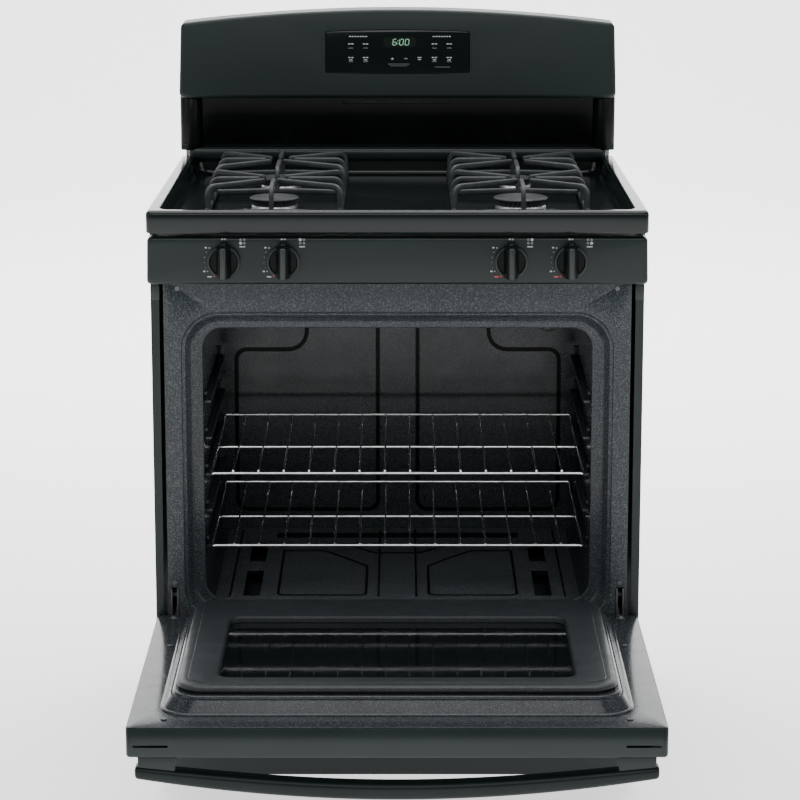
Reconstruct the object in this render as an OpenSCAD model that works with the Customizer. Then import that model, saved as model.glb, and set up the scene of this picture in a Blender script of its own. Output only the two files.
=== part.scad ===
// Freestanding gas range with four burners, an oven with a drop-down door and a storage drawer.
// Millimetres. X runs to the right, Y to the back, Z up. The origin is on the floor, under the
// middle of the range with its door open. Inside place(), y = 0 is the face of the control panel.

/* [Overall] */
// Width of the control panel
range_w = 759; // [756:1:762]
// Height of the cooktop rim above the floor
cooktop_h = 921; // [919:1:924]
// Height of the middle of the arched console top
overall_h = 1172; // [1165:1:1190]
// Depth from the control panel to the back of the gas inlet
body_d = 680; // [680:1:690]
// Thickness of the steel sheet
sheet = 1.2; // [0.8:0.1:1.4]

/* [Oven] */
// Half of the inside width of the oven
oven_half_w = 303; // [302:0.5:304]
// Height of the oven floor
oven_floor_z = 287; // [285:1:288]
// Height of the oven ceiling
oven_ceiling_z = 745; // [740:1:750]
// Distance from the control panel to the rear wall of the oven
oven_rear_y = 533; // [530:1:536]
// Height of the lowest rack position
rack_level_0 = 374.5; // [373:0.5:376]
// Height between two rack positions
rack_step = 58.5; // [57:0.5:59]

/* [Door] */
// Width of the oven door
door_w = 752; // [748:1:754]
// Distance from the hinge axis to the top edge of the door
door_reach = 533; // [530:1:534]
// Height of the hinge axis above the floor
hinge_z = 269; // [268.5:0.5:269.5]
// Thickness of the door without its inner plateau
door_t = 44.3; // [44:0.1:44.6]

/* [Cooktop] */
// Distance of the burners from the middle
burner_x = 195; // [193:1:197]
// Distance of the front burners from the control panel
burner_front_y = 232; // [228:1:236]
// Distance of the rear burners from the control panel
burner_rear_y = 462; // [458:1:468]
// Height of the top of the grates
grate_top_z = 940; // [937:1:943]

/* [Knobs] */
// Distance of the inner knobs from the middle
knob_inner_x = 172; // [170:1:175]
// Distance of the outer knobs from the middle
knob_outer_x = 262; // [260:1:265]
// Height of the knobs
knob_z = 843; // [841:1:845]
// Radius of the knob skirt
knob_r = 24.5; // [23:0.5:25]

/* [Drawer] */
// Lower edge of the drawer front
drawer_bottom_z = 28; // [26:1:32]
// Upper edge of the drawer front
drawer_top_z = 226; // [220:1:227]

/* [Hidden] */
$fn = 48;
hinge_y = 30;
door_front_y = hinge_y - door_reach;
door_back_y = hinge_y + 14;
front_y = -(body_d + door_front_y) / 2;
back_y = body_d - 8;
body_half_w = range_w / 2 - 1.5;
foot_h = 28;
deck_z = cooktop_h - 31;
skirt_z = cooktop_h - 34.5;
panel_bottom_z = cooktop_h - 114;
panel_top_z = cooktop_h - 41.5;
frame_y = 47;
side_front_y = 46;
ledge_y = 77;
frame_half_w = 359;
hinge_x = 349;
hinge_pin_r = 4;
fit = 0.05;
door_half_w = door_w / 2;
door_outer_z = hinge_z - 39;
flange_z = door_outer_z + door_t;
plateau_z = flange_z + 38;
console_z = cooktop_h + 103;
console_face_y = 598;
console_lean = 8;
console_half_w = 371.5;
knob_xs = [-knob_outer_x, -knob_inner_x, knob_inner_x, knob_outer_x];
knob_push = 3;
rack_half_w = 296;
rack_front_y = 90;
rack_rear_y = 450;
rack_wire_r = 2;
rack_frame_r = 2.8;
drawer_half_w = 376;
drawer_pan_half_w = 325;
foot_x = 358;
foot_ys = [75, 632];
gas_inlet_x = 290;
gas_inlet_z = 150;
gas_inlet_r = 10.67;
power_inlet_x = -290;

black = [0.13, 0.15, 0.15];
porcelain = [0.24, 0.26, 0.28];
bright = [0.8, 0.8, 0.82];
iron = [0.16, 0.17, 0.17];
zinc = [0.6, 0.62, 0.63];
brass = [0.8, 0.65, 0.3];
wool = [0.85, 0.8, 0.6];
gloss = [0.03, 0.03, 0.04];

// ---- helpers ----

module place() {
    translate([0, front_y, 0])
        children();
}

module both_sides() {
    children();
    mirror([1, 0, 0])
        children();
}

// a box given by its low and high coordinates
module block(x, y, z) {
    translate([x[0], y[0], z[0]])
        cube([x[1] - x[0], y[1] - y[0], z[1] - z[0]]);
}

module rod_x(x, y, z, r) {
    translate([x[0], y, z])
        rotate([0, 90, 0])
            cylinder(h = x[1] - x[0], r = r);
}

module rod_y(x, y, z, r) {
    translate([x, y[0], z])
        rotate([-90, 0, 0])
            cylinder(h = y[1] - y[0], r = r);
}

module rod_z(x, y, z, r) {
    translate([x, y, z[0]])
        cylinder(h = z[1] - z[0], r = r);
}

// rectangle symmetric in x, from v[0] to v[1] in the other direction, with round corners
module round_rect(half_w, v, r) {
    translate([-half_w + r, v[0]])
        square([2 * (half_w - r), v[1] - v[0]]);
    translate([-half_w, v[0] + r])
        square([2 * half_w, v[1] - v[0] - 2 * r]);
    for (x = [-half_w + r, half_w - r], y = [v[0] + r, v[1] - r])
        translate([x, y])
            circle(r);
}

// the same rectangle standing upright, from y[0] to y[1]
module upright_rect(half_w, z, r, y) {
    translate([0, y[1], 0])
        rotate([90, 0, 0])
            linear_extrude(height = y[1] - y[0])
                round_rect(half_w, z, r);
}

// the same rectangle lying flat, from z[0] to z[1]
module flat_rect(half_w, y, r, z) {
    translate([0, 0, z[0]])
        linear_extrude(height = z[1] - z[0])
            round_rect(half_w, y, r);
}

// ---- cabinet ----

module side_panel() {
    block([body_half_w - sheet, body_half_w], [side_front_y, back_y], [foot_h, skirt_z - 2]);
    block([body_half_w - 13, body_half_w], [side_front_y, side_front_y + sheet],
        [foot_h, skirt_z - 2]);
    block([body_half_w - 20, body_half_w], [back_y - sheet, back_y], [foot_h, skirt_z - 2]);
}

module side_panel_right() {
    place() color(black) side_panel();
}

module side_panel_left() {
    place() color(black) mirror([1, 0, 0]) side_panel();
}

module back_panel() {
    half_w = body_half_w - 2;
    place() color(zinc) difference() {
        block([-half_w, half_w], [back_y, back_y + sheet], [foot_h, skirt_z - 2]);
        rod_y(gas_inlet_x, [back_y - 1, back_y + 3], gas_inlet_z, 18);
        rod_y(power_inlet_x, [back_y - 1, back_y + 3], gas_inlet_z, 9);
        for (x = [-120:40:120])
            block([x - 12, x + 12], [back_y - 1, back_y + 3], [700, 706]);
    }
}

module console_back_cover() {
    half_w = console_half_w - 5;
    place() color(zinc) difference() {
        block([-half_w, half_w], [back_y, back_y + sheet], [skirt_z, overall_h - 30]);
        for (x = [-200:50:200])
            block([x - 16, x + 16], [back_y - 1, back_y + 3], [console_z + 60, console_z + 66]);
    }
}

// one bent channel of the base, open to the inside
module base_channel(x, y, z) {
    difference() {
        block(x, y, z);
        block([x[0] - 1, x[1] - 2], [y[0] + 2, y[1] - 2], [z[0] + 2, z[1] - 2]);
    }
}

module base_frame() {
    place() color(zinc) difference() {
        union() {
            both_sides() base_channel([340, body_half_w - sheet - 0.3], [50, 660], [foot_h + 2, 60]);
            block([-340, 340], [50, 52], [foot_h + 2, 43]);
            block([-340, 340], [50, 75], [foot_h + 2, foot_h + 4]);
            block([-340, 340], [658, 660], [foot_h + 2, 90]);
        }
        both_sides() for (y = foot_ys)
            rod_z(foot_x, y, [foot_h, 100], 4 + fit);
    }
}

module levelling_feet() {
    place() color(black) both_sides() for (y = foot_ys) {
        rod_z(foot_x, y, [0, 8], 16);
        rod_z(foot_x, y, [8, foot_h + 2], 9);
        rod_z(foot_x, y, [foot_h + 2, 52], 4);
    }
}

module chassis_screws() {
    screw_r = 3.6;
    place() color(zinc) both_sides() {
        rod_y(337, [frame_y - 2, frame_y], 793, screw_r);
        rod_y(348, [frame_y - 2, frame_y], 326, screw_r);
        for (z = [200, 500, 800])
            rod_y(body_half_w - 11, [back_y + sheet, back_y + sheet + 2], z, screw_r);
    }
}

// ---- oven ----

// hollow wall that narrows from the front frame to the seat of the door gasket
module frame_recess_wall() {
    difference() {
        hull() {
            upright_rect(328.2, [265.8, 749.8], 54, [frame_y, frame_y + sheet]);
            upright_rect(317.8, [280.8, 733.9], 44, [ledge_y - sheet, ledge_y]);
        }
        hull() {
            upright_rect(327, [267, 748.6], 53, [frame_y - 1, frame_y]);
            upright_rect(316.6, [282, 732.7], 43, [ledge_y, ledge_y + 1]);
        }
    }
}

module front_frame() {
    place() color(porcelain) union() {
        difference() {
            block([-frame_half_w, frame_half_w], [frame_y, frame_y + sheet], [234, 806]);
            upright_rect(327.5, [266.5, 749.1], 53, [frame_y - 1, frame_y + 3]);
            both_sides() block([hinge_x - 7.5, hinge_x + 7.5], [frame_y - 1, frame_y + 3], [258, 318]);
        }
        frame_recess_wall();
        difference() {
            upright_rect(317.8, [280.8, 733.9], 44, [ledge_y - sheet, ledge_y]);
            upright_rect(302, [289, 726], 32, [ledge_y - 3, ledge_y + 1]);
        }
    }
}

// a quarter bend of a pressed bead, drawn flat; it starts at angle a and turns by 90 degrees
module bead_bend(c, r, a, w) {
    translate(c)
        rotate(a)
            intersection() {
                difference() {
                    circle(r + w / 2);
                    circle(r - w / 2);
                }
                square(r + w);
            }
}

// the pressed bead on the left half of the rear wall, drawn flat
module rear_bead(w) {
    r = 18;
    top_r = 32;
    top = oven_ceiling_z + 1;
    bottom = 319;
    shoulder = 601;
    outer = -276;
    middle = -155;
    inner = -34;
    translate([inner - w / 2, bottom + r])
        square([w, top - bottom - r]);
    bead_bend([inner - r, bottom + r], r, -90, w);
    translate([outer + r, bottom - w / 2])
        square([inner - outer - 2 * r, w]);
    bead_bend([outer + r, bottom + r], r, 180, w);
    translate([outer - w / 2, bottom + r])
        square([w, shoulder - bottom - 2 * r]);
    bead_bend([outer + r, shoulder - r], r, 90, w);
    translate([outer + r, shoulder - w / 2])
        square([middle - outer - r - top_r, w]);
    bead_bend([middle - top_r, shoulder + top_r], top_r, -90, w);
    translate([middle - w / 2, shoulder + top_r])
        square([w, top - shoulder - top_r]);
}

module rear_beads(w, y) {
    translate([0, y[1], 0])
        rotate([90, 0, 0])
            linear_extrude(height = y[1] - y[0])
                both_sides() rear_bead(w);
}

module oven_liner() {
    out_w = oven_half_w + sheet;
    low = 250;
    shelf_z = oven_floor_z - sheet - 0.2;
    place() color(porcelain) difference() {
        union() {
            difference() {
                block([-out_w, out_w], [ledge_y, oven_rear_y + sheet], [low, oven_ceiling_z + sheet]);
                block([-oven_half_w, oven_half_w], [ledge_y - 1, oven_rear_y],
                    [low + sheet, oven_ceiling_z]);
            }
            rear_beads(9.4, [oven_rear_y, oven_rear_y + 4.2]);
            both_sides() block([oven_half_w - 20, oven_half_w + 0.5], [ledge_y + 2, oven_rear_y],
                [shelf_z - sheet, shelf_z]);
        }
        rear_beads(7, [oven_rear_y - 1, oven_rear_y + 3]);
        rod_y(256, [oven_rear_y - 1, oven_rear_y + 10], 655, 14);
        rod_y(-235, [oven_rear_y - 1, oven_rear_y + 10], 705, 4);
        rod_y(0, [oven_rear_y - 1, oven_rear_y + 10], 266, 10);
        rod_y(0, [oven_rear_y - 1, oven_rear_y + 10], 728, 8);
    }
}

module rack_guides() {
    rail_r = rack_frame_r + 0.4;
    place() color(porcelain) both_sides() for (i = [0:4]) {
        z = rack_level_0 + i * rack_step - rail_r;
        block([291, oven_half_w], [105, 470], [z - 5, z]);
        block([296.5, oven_half_w], [459, 470], [z, z + 16]);
        block([297.5, oven_half_w], [105, 117], [z + 8, z + 14]);
    }
}

module oven_floor() {
    top = oven_floor_z;
    cut = [top - 3, top + 1];
    place() color(porcelain) difference() {
        flat_rect(289, [84, 527], 6, [top - sheet, top]);
        both_sides() {
            block([218.5, 245.5], [108, 260], cut);
            block([218.5, 245.5], [312, 414], cut);
        }
        block([-190, 190], [478, 494], cut);
    }
}

module oven_burner() {
    place() color(zinc) difference() {
        union() {
            rod_y(0, [120, 560], 266, 9.5);
            block([-60, 60], [150, 158], [254, 276]);
            block([-60, 60], [430, 438], [254, 276]);
        }
        rod_y(0, [124, 570], 266, 7);
    }
}

module broil_burner() {
    place() color(zinc) difference() {
        union() {
            block([-40, 40], [150, 480], [718, 736]);
            rod_y(0, [470, 560], 728, 7);
        }
        block([-37, 37], [153, 477], [721, 733]);
        rod_y(0, [465, 570], 728, 5);
    }
}

module oven_lamp() {
    rear = oven_rear_y - 0.2;
    place() color("white") intersection() {
        block([230, 282], [490, rear], [630, 680]);
        difference() {
            union() {
                rod_y(256, [519, rear], 655, 20);
                translate([256, 519, 655]) sphere(r = 20);
            }
            rod_y(256, [519, rear + 1], 655, 18);
            translate([256, 519, 655]) sphere(r = 18);
        }
    }
}

module lamp_socket() {
    place() color("ivory") {
        rod_y(256, [oven_rear_y - 1, 572], 655, 13);
        rod_y(256, [508, oven_rear_y - 1], 655, 9);
    }
}

module temperature_sensor() {
    place() color(bright) {
        rod_y(-235, [430, 560], 705, 3);
        block([-247, -223], [oven_rear_y - 2, oven_rear_y - 0.5], [694, 716]);
    }
}

module oven_insulation() {
    place() color(wool) difference() {
        block([-330, 330], [84, 562], [238, 772]);
        block([-306, 306], [80, 540], [248, 748]);
        rod_y(256, [530, 570], 655, 15);
        rod_y(-235, [530, 570], 705, 5);
        rod_y(0, [530, 570], 266, 11);
        rod_y(0, [530, 570], 728, 9);
    }
}

// ---- cooktop and gas ----

// plan of the cooktop moved in by d on all sides; it narrows towards the back
module deck_plan(d) {
    front = -10 + d;
    rear = 640 - d;
    front_half = range_w / 2 - 0.5 - d;
    rear_half = range_w / 2 - 8 - d;
    polygon([[-front_half, front], [front_half, front], [rear_half, rear], [-rear_half, rear]]);
}

module deck_layer(d, z) {
    translate([0, 0, z[0]])
        linear_extrude(height = z[1] - z[0])
            deck_plan(d);
}

module at_burners() {
    for (x = [-burner_x, burner_x], y = [burner_front_y, burner_rear_y])
        translate([x, y, 0])
            children();
}

module cooktop() {
    place() color(black) difference() {
        union() {
            deck_layer(0, [skirt_z, cooktop_h]);
            block([-370.5, 370.5], [606, 640], [cooktop_h - 5, cooktop_h + 12]);
        }
        deck_layer(28, [deck_z, cooktop_h + 20]);
        difference() {
            deck_layer(sheet, [skirt_z - 1, cooktop_h - sheet]);
            deck_layer(28 - sheet, [deck_z - sheet, cooktop_h]);
        }
        block([-369.3, 369.3], [613, 638.8], [cooktop_h - 7, cooktop_h + 10.8]);
        at_burners() cylinder(h = 2000, r = 24);
    }
}

module control_panel() {
    half_w = range_w / 2;
    place() color(black) difference() {
        block([-half_w, half_w], [0, 40], [panel_bottom_z, panel_top_z]);
        block([-half_w + sheet, half_w - sheet], [sheet, 41], [panel_bottom_z + sheet, panel_top_z - sheet]);
        for (x = knob_xs)
            rod_y(x, [-1, 10], knob_z, 8);
    }
}

module gas_manifold() {
    place() color(zinc) {
        difference() {
            rod_x([-310, 310], 72, knob_z, 10);
            rod_x([-305, 305], 72, knob_z, 8);
        }
        both_sides() block([318, 322], [55, 89], [808, 862]);
        both_sides() rod_x([309, 319], 72, knob_z, 6);
    }
}

module gas_supply_pipe() {
    place() color(zinc) {
        rod_z(345, 600, [gas_inlet_z, 858], 6);
        rod_y(345, [80, 600], 858, 6);
        rod_x([gas_inlet_x + 24.1, 345], 600, gas_inlet_z, 6);
        rod_x([322, 345], 80, 858, 6);
        translate([345, 600, 858]) sphere(r = 6);
        translate([345, 600, gas_inlet_z]) sphere(r = 6);
        translate([345, 80, 858]) sphere(r = 6);
    }
}

module burner_valves() {
    place() color(brass) for (x = knob_xs) difference() {
        union() {
            block([x - 12, x + 12], [16, 50], [knob_z - 14, knob_z + 14]);
            rod_y(x, [6, 16], knob_z, 7);
            rod_y(x, [50, 61.5], knob_z, 6);
            rod_z(x, 34, [knob_z + 14, knob_z + 24], 5);
        }
        rod_y(x, [0, 40], knob_z, 3 + fit);
    }
}

// radii of the caps, in the order of at_burners: left front, left rear, right front, right rear
cap_rs = [39, 35, 43, 28];

module each_burner() {
    for (i = [0:3]) {
        side = i < 2 ? -1 : 1;
        translate([side * burner_x, i % 2 == 0 ? burner_front_y : burner_rear_y, 0]) {
            $cap_r = cap_rs[i];
            children();
        }
    }
}

module burner_heads() {
    place() color(bright) each_burner() difference() {
        union() {
            translate([0, 0, deck_z + 0.2]) cylinder(h = 4, r = $cap_r - 1);
            translate([0, 0, deck_z - 25]) cylinder(h = 27, r = 20);
            translate([0, 0, deck_z + 4]) cylinder(h = 9, r = $cap_r - 5);
        }
        translate([0, 0, deck_z - 30]) cylinder(h = 33, r = 8);
        translate([0, 0, deck_z + 6]) cylinder(h = 10, r = $cap_r - 10);
        for (a = [0:15:345])
            rotate(a + 7.5)
                translate([$cap_r - 12, -1, deck_z + 8])
                    cube([10, 2, 6]);
    }
}

module burner_caps() {
    place() color(iron) each_burner() {
        translate([0, 0, deck_z + 13.2]) cylinder(h = 4, r = $cap_r);
        translate([0, 0, deck_z + 17.2]) cylinder(h = 1.8, r = $cap_r - 2.5);
        translate([0, 0, deck_z + 8]) cylinder(h = 5.2, r = $cap_r - 12);
    }
}

module spark_electrodes() {
    place() color("white") each_burner() rotate(45) translate([$cap_r + 6, 0, 0]) {
        translate([0, 0, deck_z + 0.2]) cylinder(h = 9, r = 3);
        translate([0, 0, deck_z + 9.2]) cylinder(h = 3, r = 0.8);
    }
}

// one finger of the grate: a level cast bar from a to b, and its leg on the frame at a
module grate_finger(a, b) {
    d = b - a;
    translate([a[0], a[1], grate_top_z - 9])
        rotate(atan2(d[1], d[0]))
            translate([0, -3.5, 0])
                cube([norm(d), 7, 9]);
    block([a[0] - 4, a[0] + 4], [a[1] - 4, a[1] + 4], [deck_z + 3, grate_top_z - 2]);
}

// the six fingers that reach over one burner from the side bars
module grate_fingers(y, sides) {
    for (side = [-1, 1], step = [-1, 0, 1]) {
        root = [side < 0 ? sides[0] : sides[1], y + step * 90];
        grate_finger(root, [side * (step == 0 ? 25 : 16), y + step * 20]);
    }
}

// one cast grate over a front and a rear burner, drawn around the line through the burners
module grate() {
    sides = [-100, 107];
    front = 116;
    rear = 574;
    mid = (burner_front_y + burner_rear_y) / 2;
    low = [deck_z + 3, deck_z + 13];
    for (x = sides)
        block([x - 4, x + 4], [front, rear], low);
    for (y = [front + 4, mid, rear - 4])
        block([sides[0], sides[1]], [y - 4, y + 4], low);
    for (x = sides, y = [front + 8, rear - 8])
        rod_z(x, y, [deck_z + 0.3, deck_z + 4], 5);
    for (y = [burner_front_y, burner_rear_y])
        grate_fingers(y, sides);
    grate_finger([0, front + 4], [0, burner_front_y - 22]);
    grate_finger([0, mid], [0, burner_rear_y - 22]);
    grate_finger([0, rear - 4], [0, burner_rear_y + 22]);
}

module grate_left() {
    place() color(iron) translate([-burner_x, 0, 0]) grate();
}

module grate_right() {
    place() color(iron) mirror([1, 0, 0]) translate([-burner_x, 0, 0]) grate();
}

module pressure_regulator() {
    place() color(zinc) difference() {
        union() {
            block([gas_inlet_x - 24, gas_inlet_x + 24], [580, 622], [gas_inlet_z - 20, gas_inlet_z + 20]);
            rod_z(gas_inlet_x, 600, [gas_inlet_z + 20, gas_inlet_z + 42], 24);
            rod_y(gas_inlet_x, [622, body_d], gas_inlet_z, gas_inlet_r);
        }
        rod_y(gas_inlet_x, [600, body_d + 1], gas_inlet_z, 7);
    }
}

module power_inlet() {
    place() color(black) difference() {
        union() {
            rod_y(power_inlet_x, [back_y - 6, back_y + 7], gas_inlet_z, 8.7);
            rod_y(power_inlet_x, [back_y + sheet + 0.1, back_y + 7], gas_inlet_z, 12);
            rod_y(power_inlet_x, [back_y - 6, back_y - 0.1], gas_inlet_z, 11);
        }
        rod_y(power_inlet_x, [back_y - 10, back_y + 10], gas_inlet_z, 4.5);
    }
}

// ---- backguard and controls ----

// arched outline of the console, seen from the front
module console_outline(d) {
    drop = 23;
    half = console_half_w - d;
    arch_r = (console_half_w * console_half_w + drop * drop) / (2 * drop) - d;
    intersection() {
        translate([0, overall_h - d - arch_r])
            circle(arch_r, $fn = 360);
        union() {
            translate([-half, console_z + d])
                square([2 * half, overall_h - drop - console_z - d - 12]);
            round_rect(half, [overall_h - drop - 60, overall_h + 20], 8);
            translate([-half + 12, console_z + 20])
                square([2 * half - 24, 200]);
        }
    }
}

// side view of the console: the face leans back
module console_side(d) {
    rise = overall_h - console_z;
    lean = rise * tan(console_lean);
    translate([-console_half_w + d, 0, 0])
        rotate([90, 0, 90])
            linear_extrude(height = 2 * (console_half_w - d))
                polygon([[console_face_y + d, console_z + d], [console_face_y + d + lean, overall_h + 10],
                    [back_y - 0.3 + d, overall_h + 10], [back_y - 0.3 + d, console_z + d]]);
}

module console_body(d) {
    intersection() {
        translate([0, back_y + 1, 0])
            rotate([90, 0, 0])
                linear_extrude(height = 90)
                    console_outline(d);
        console_side(d);
    }
}

// moves its children onto the leaning face: y is the depth behind it, z runs up along it
module on_console_face() {
    translate([0, console_face_y, console_z])
        rotate([-console_lean, 0, 0])
            children();
}

glass_z = 76;

module glass_outline(d) {
    half = 122.5 - d;
    bow = 3;
    bow_r = 2500;
    intersection() {
        translate([-half, glass_z - 60])
            square([2 * half, 120]);
        translate([0, glass_z + 35.5 + bow - d - bow_r])
            circle(bow_r, $fn = 720);
        translate([0, glass_z - 35.5 - bow + d + bow_r])
            circle(bow_r, $fn = 720);
    }
}

module glass_block(d, y) {
    on_console_face()
        translate([0, y[1], 0])
            rotate([90, 0, 0])
                linear_extrude(height = y[1] - y[0])
                    glass_outline(d);
}

module console_shell() {
    place() color(black) difference() {
        console_body(0);
        console_body(1.5);
        glass_block(-0.3, [-3, 8]);
    }
}

module vent_panel() {
    half = 336;
    place() color(gloss) difference() {
        block([-half, half], [640.3, 641.5], [skirt_z, console_z - 0.3]);
        block([-95, 95], [639, 643], [console_z - 14, console_z - 9]);
    }
    place() color(gloss) block([-half, half], [626, 640.3], [cooktop_h + 12.3, cooktop_h + 14]);
}

module console_ends() {
    place() color(black) both_sides() difference() {
        union() {
            block([336.3, console_half_w], [624, back_y - 0.3], [cooktop_h + 12.3, console_z - 0.3]);
            rod_z(354, 624, [cooktop_h + 12.3, console_z - 0.3], 17.4);
        }
        block([338, console_half_w - 1.5], [626, back_y], [cooktop_h + 10, console_z]);
    }
}

module control_glass() {
    place() color(gloss) glass_block(0, [0, 3]);
}

module control_board() {
    place() color("darkgreen") on_console_face() {
        block([-110, 110], [9, 10.6], [glass_z - 30, glass_z + 30]);
        block([-30, 30], [3.3, 9], [glass_z, glass_z + 26]);
        block([-90, -60], [10.6, 26], [glass_z - 20, glass_z + 10]);
    }
}

// ---- door, drawn open ----

module hinge_notch() {
    both_sides() block([hinge_x - 8, hinge_x + 8], [hinge_y - 14, door_back_y + 1], [door_outer_z + 3, 400]);
}

module door_skin() {
    side = door_half_w;
    place() color(black) difference() {
        block([-side, side], [door_front_y, door_back_y], [door_outer_z, flange_z - sheet - 0.1]);
        block([-side + sheet, side - sheet], [door_front_y + sheet, door_back_y - sheet],
            [door_outer_z + sheet, flange_z]);
        both_sides() block([317.5, 366.5], [door_front_y - 1, door_front_y + 3],
            [door_outer_z + 15, door_outer_z + 18.5]);
        flat_rect(230, [-372, -152], 14, [door_outer_z - 1, door_outer_z + 3]);
        both_sides() for (y = [-440:40:-360])
            block([side - 3, side + 1], [y, y + 26], [door_outer_z + 12, door_outer_z + 16]);
        both_sides() rod_z(352, -480, [door_outer_z - 1, door_outer_z + 3], 4);
        hinge_notch();
    }
}

module door_liner() {
    base_z = flange_z - sheet;
    top_z = flange_z + 24;
    place() color(porcelain) union() {
        difference() {
            block([-door_half_w + 1.4, door_half_w - 1.4], [door_front_y + 1.4, door_back_y - 1.4],
                [base_z, flange_z]);
            flat_rect(326, [-444, 28], 40, [base_z - 1, flange_z + 1]);
            hinge_notch();
        }
        difference() {
            hull() {
                flat_rect(328, [-446, 30], 40, [base_z, base_z + 0.4]);
                flat_rect(316, [-436, 18], 38, [top_z - 0.4, top_z]);
            }
            hull() {
                flat_rect(326.6, [-444.6, 28.6], 40, [base_z - 1, base_z - 0.6]);
                flat_rect(314.6, [-434.6, 16.6], 38, [top_z - sheet - 0.4, top_z - sheet]);
            }
            flat_rect(244, [-385, -98], 12, [top_z - 4, top_z + 1]);
        }
    }
}

module door_gasket() {
    low = flange_z + 24.1;
    place() color([0.2, 0.2, 0.2]) difference() {
        flat_rect(308, [-427, 10], 34, [low, low + 4.1]);
        flat_rect(300, [-419, 2], 28, [low - 1, low + 5]);
    }
}

module door_window_frame() {
    low = flange_z + 28.3;
    place() color(porcelain) difference() {
        flat_rect(312, [-430, 14], 40, [low, plateau_z]);
        difference() {
            flat_rect(310.8, [-428.8, 12.8], 39, [low - 1, plateau_z - sheet]);
            flat_rect(254.2, [-391.2, -92.8], 13, [low - 2, plateau_z]);
        }
        flat_rect(253, [-390, -94], 12, [low - 2, plateau_z + 1]);
    }
}

module door_inner_glass() {
    low = flange_z + 24.1;
    place() color(gloss) flat_rect(262, [-404, -79], 8, [low, low + 4]);
}

module door_outer_glass() {
    low = door_outer_z + sheet + 0.1;
    place() color(gloss) flat_rect(245, [-390, -134], 6, [low, low + 4]);
}

module door_insulation() {
    place() color(wool) difference() {
        block([-320, 320], [-440, 0], [door_outer_z + 6, flange_z - 3]);
        block([-268, 268], [-412, -70], [door_outer_z, flange_z]);
    }
}

// bowed bar with a post at each end, seen from above
module handle_outline() {
    half = 366;
    reach_mid = 66;
    reach_end = 34;
    outer_r = (half * half + pow(reach_mid - reach_end, 2)) / (2 * (reach_mid - reach_end));
    inner_half = 308;
    inner_mid = 40;
    inner_end = 18;
    inner_r = (inner_half * inner_half + pow(inner_mid - inner_end, 2)) / (2 * (inner_mid - inner_end));
    difference() {
        intersection() {
            translate([-half, -reach_mid - 10])
                square([2 * half, reach_mid + 10]);
            translate([0, outer_r - reach_mid])
                circle(outer_r, $fn = 720);
        }
        intersection() {
            translate([-inner_half, -reach_mid])
                square([2 * inner_half, reach_mid + 1]);
            translate([0, inner_r - inner_mid])
                circle(inner_r, $fn = 720);
        }
    }
}

module door_handle() {
    place() color(black) translate([0, -468, door_outer_z])
        rotate([90, 0, 0])
            linear_extrude(height = 28)
                handle_outline();
}

module door_screws() {
    place() color(zinc) both_sides() {
        rod_z(344, -122, [flange_z, flange_z + 1.8], 4.5);
        rod_z(325, -468, [flange_z, flange_z + 1.8], 4.5);
        rod_z(352, -480, [door_outer_z, door_outer_z + 10], 3);
    }
}

// flat steel arm in the door, turning on the pin of the receiver
module hinge_arms() {
    half_t = 3;
    place() color(zinc) both_sides() difference() {
        union() {
            block([hinge_x - half_t, hinge_x + half_t], [-110, hinge_y], [hinge_z - 8, hinge_z]);
            rod_x([hinge_x - half_t, hinge_x + half_t], hinge_y, hinge_z, 9);
            block([hinge_x - 14, hinge_x + 14], [-110, -20], [door_outer_z + sheet + 0.1, hinge_z - 6]);
        }
        rod_x([hinge_x - 10, hinge_x + 10], hinge_y, hinge_z, hinge_pin_r + fit);
        block([hinge_x - 12, hinge_x + 20], [-111, -19], [door_outer_z + 4, hinge_z - 8.1]);
    }
}

module hinge_receivers() {
    place() color(zinc) both_sides() {
        for (x = [hinge_x - 6.6, hinge_x + 3.6]) {
            block([x, x + 3], [hinge_y, 130], [hinge_z - 6, hinge_z + 6]);
            rod_x([x, x + 3], hinge_y, hinge_z, 6);
            block([x, x + 3], [frame_y + sheet + 0.3, 130], [hinge_z - 6, 316]);
        }
        rod_x([hinge_x - 6.6, hinge_x + 6.6], hinge_y, hinge_z, hinge_pin_r);
        block([hinge_x - 6.6, hinge_x + 6.6], [127, 130], [hinge_z - 6, 316]);
        block([hinge_x - 3.7, hinge_x + 3.7], [60, 100], [300, 306]);
    }
}

// ---- drawer ----

module drawer_front() {
    place() color(black) difference() {
        block([-drawer_half_w, drawer_half_w], [-4, 18], [drawer_bottom_z, drawer_top_z]);
        block([-drawer_half_w + sheet, drawer_half_w - sheet], [-4 + sheet, 19],
            [drawer_bottom_z + sheet, drawer_top_z - sheet]);
        block([-90, 90], [2, 19], [drawer_top_z - 3, drawer_top_z + 1]);
    }
}

module drawer_pan() {
    half = drawer_pan_half_w;
    place() color(zinc) difference() {
        union() {
            block([-half, half], [6, 520], [64, 185]);
            block([-half - 40, half + 40], [6, 6 + sheet], [64, 200]);
        }
        block([-half + sheet, half - sheet], [6 + sheet, 520 - sheet], [64 + sheet, 201]);
    }
}

module drawer_runners() {
    x = drawer_pan_half_w;
    place() color(zinc) both_sides() {
        block([x, x + 2], [10, 500], [112, 136]);
        block([x + 2, x + 7], [10, 500], [120, 128]);
    }
}

module drawer_rails() {
    x = drawer_pan_half_w + 8;
    place() color(zinc) both_sides() {
        block([x + 5, x + 7], [54, 590], [108, 140]);
        block([x - 3, x + 5], [54, 590], [108, 110]);
        block([x - 3, x + 5], [54, 590], [138, 140]);
        for (y = [[54, 84], [560, 590]])
            block([x + 7, x + 9], y, [60, 140]);
    }
}

// ---- racks ----

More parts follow.
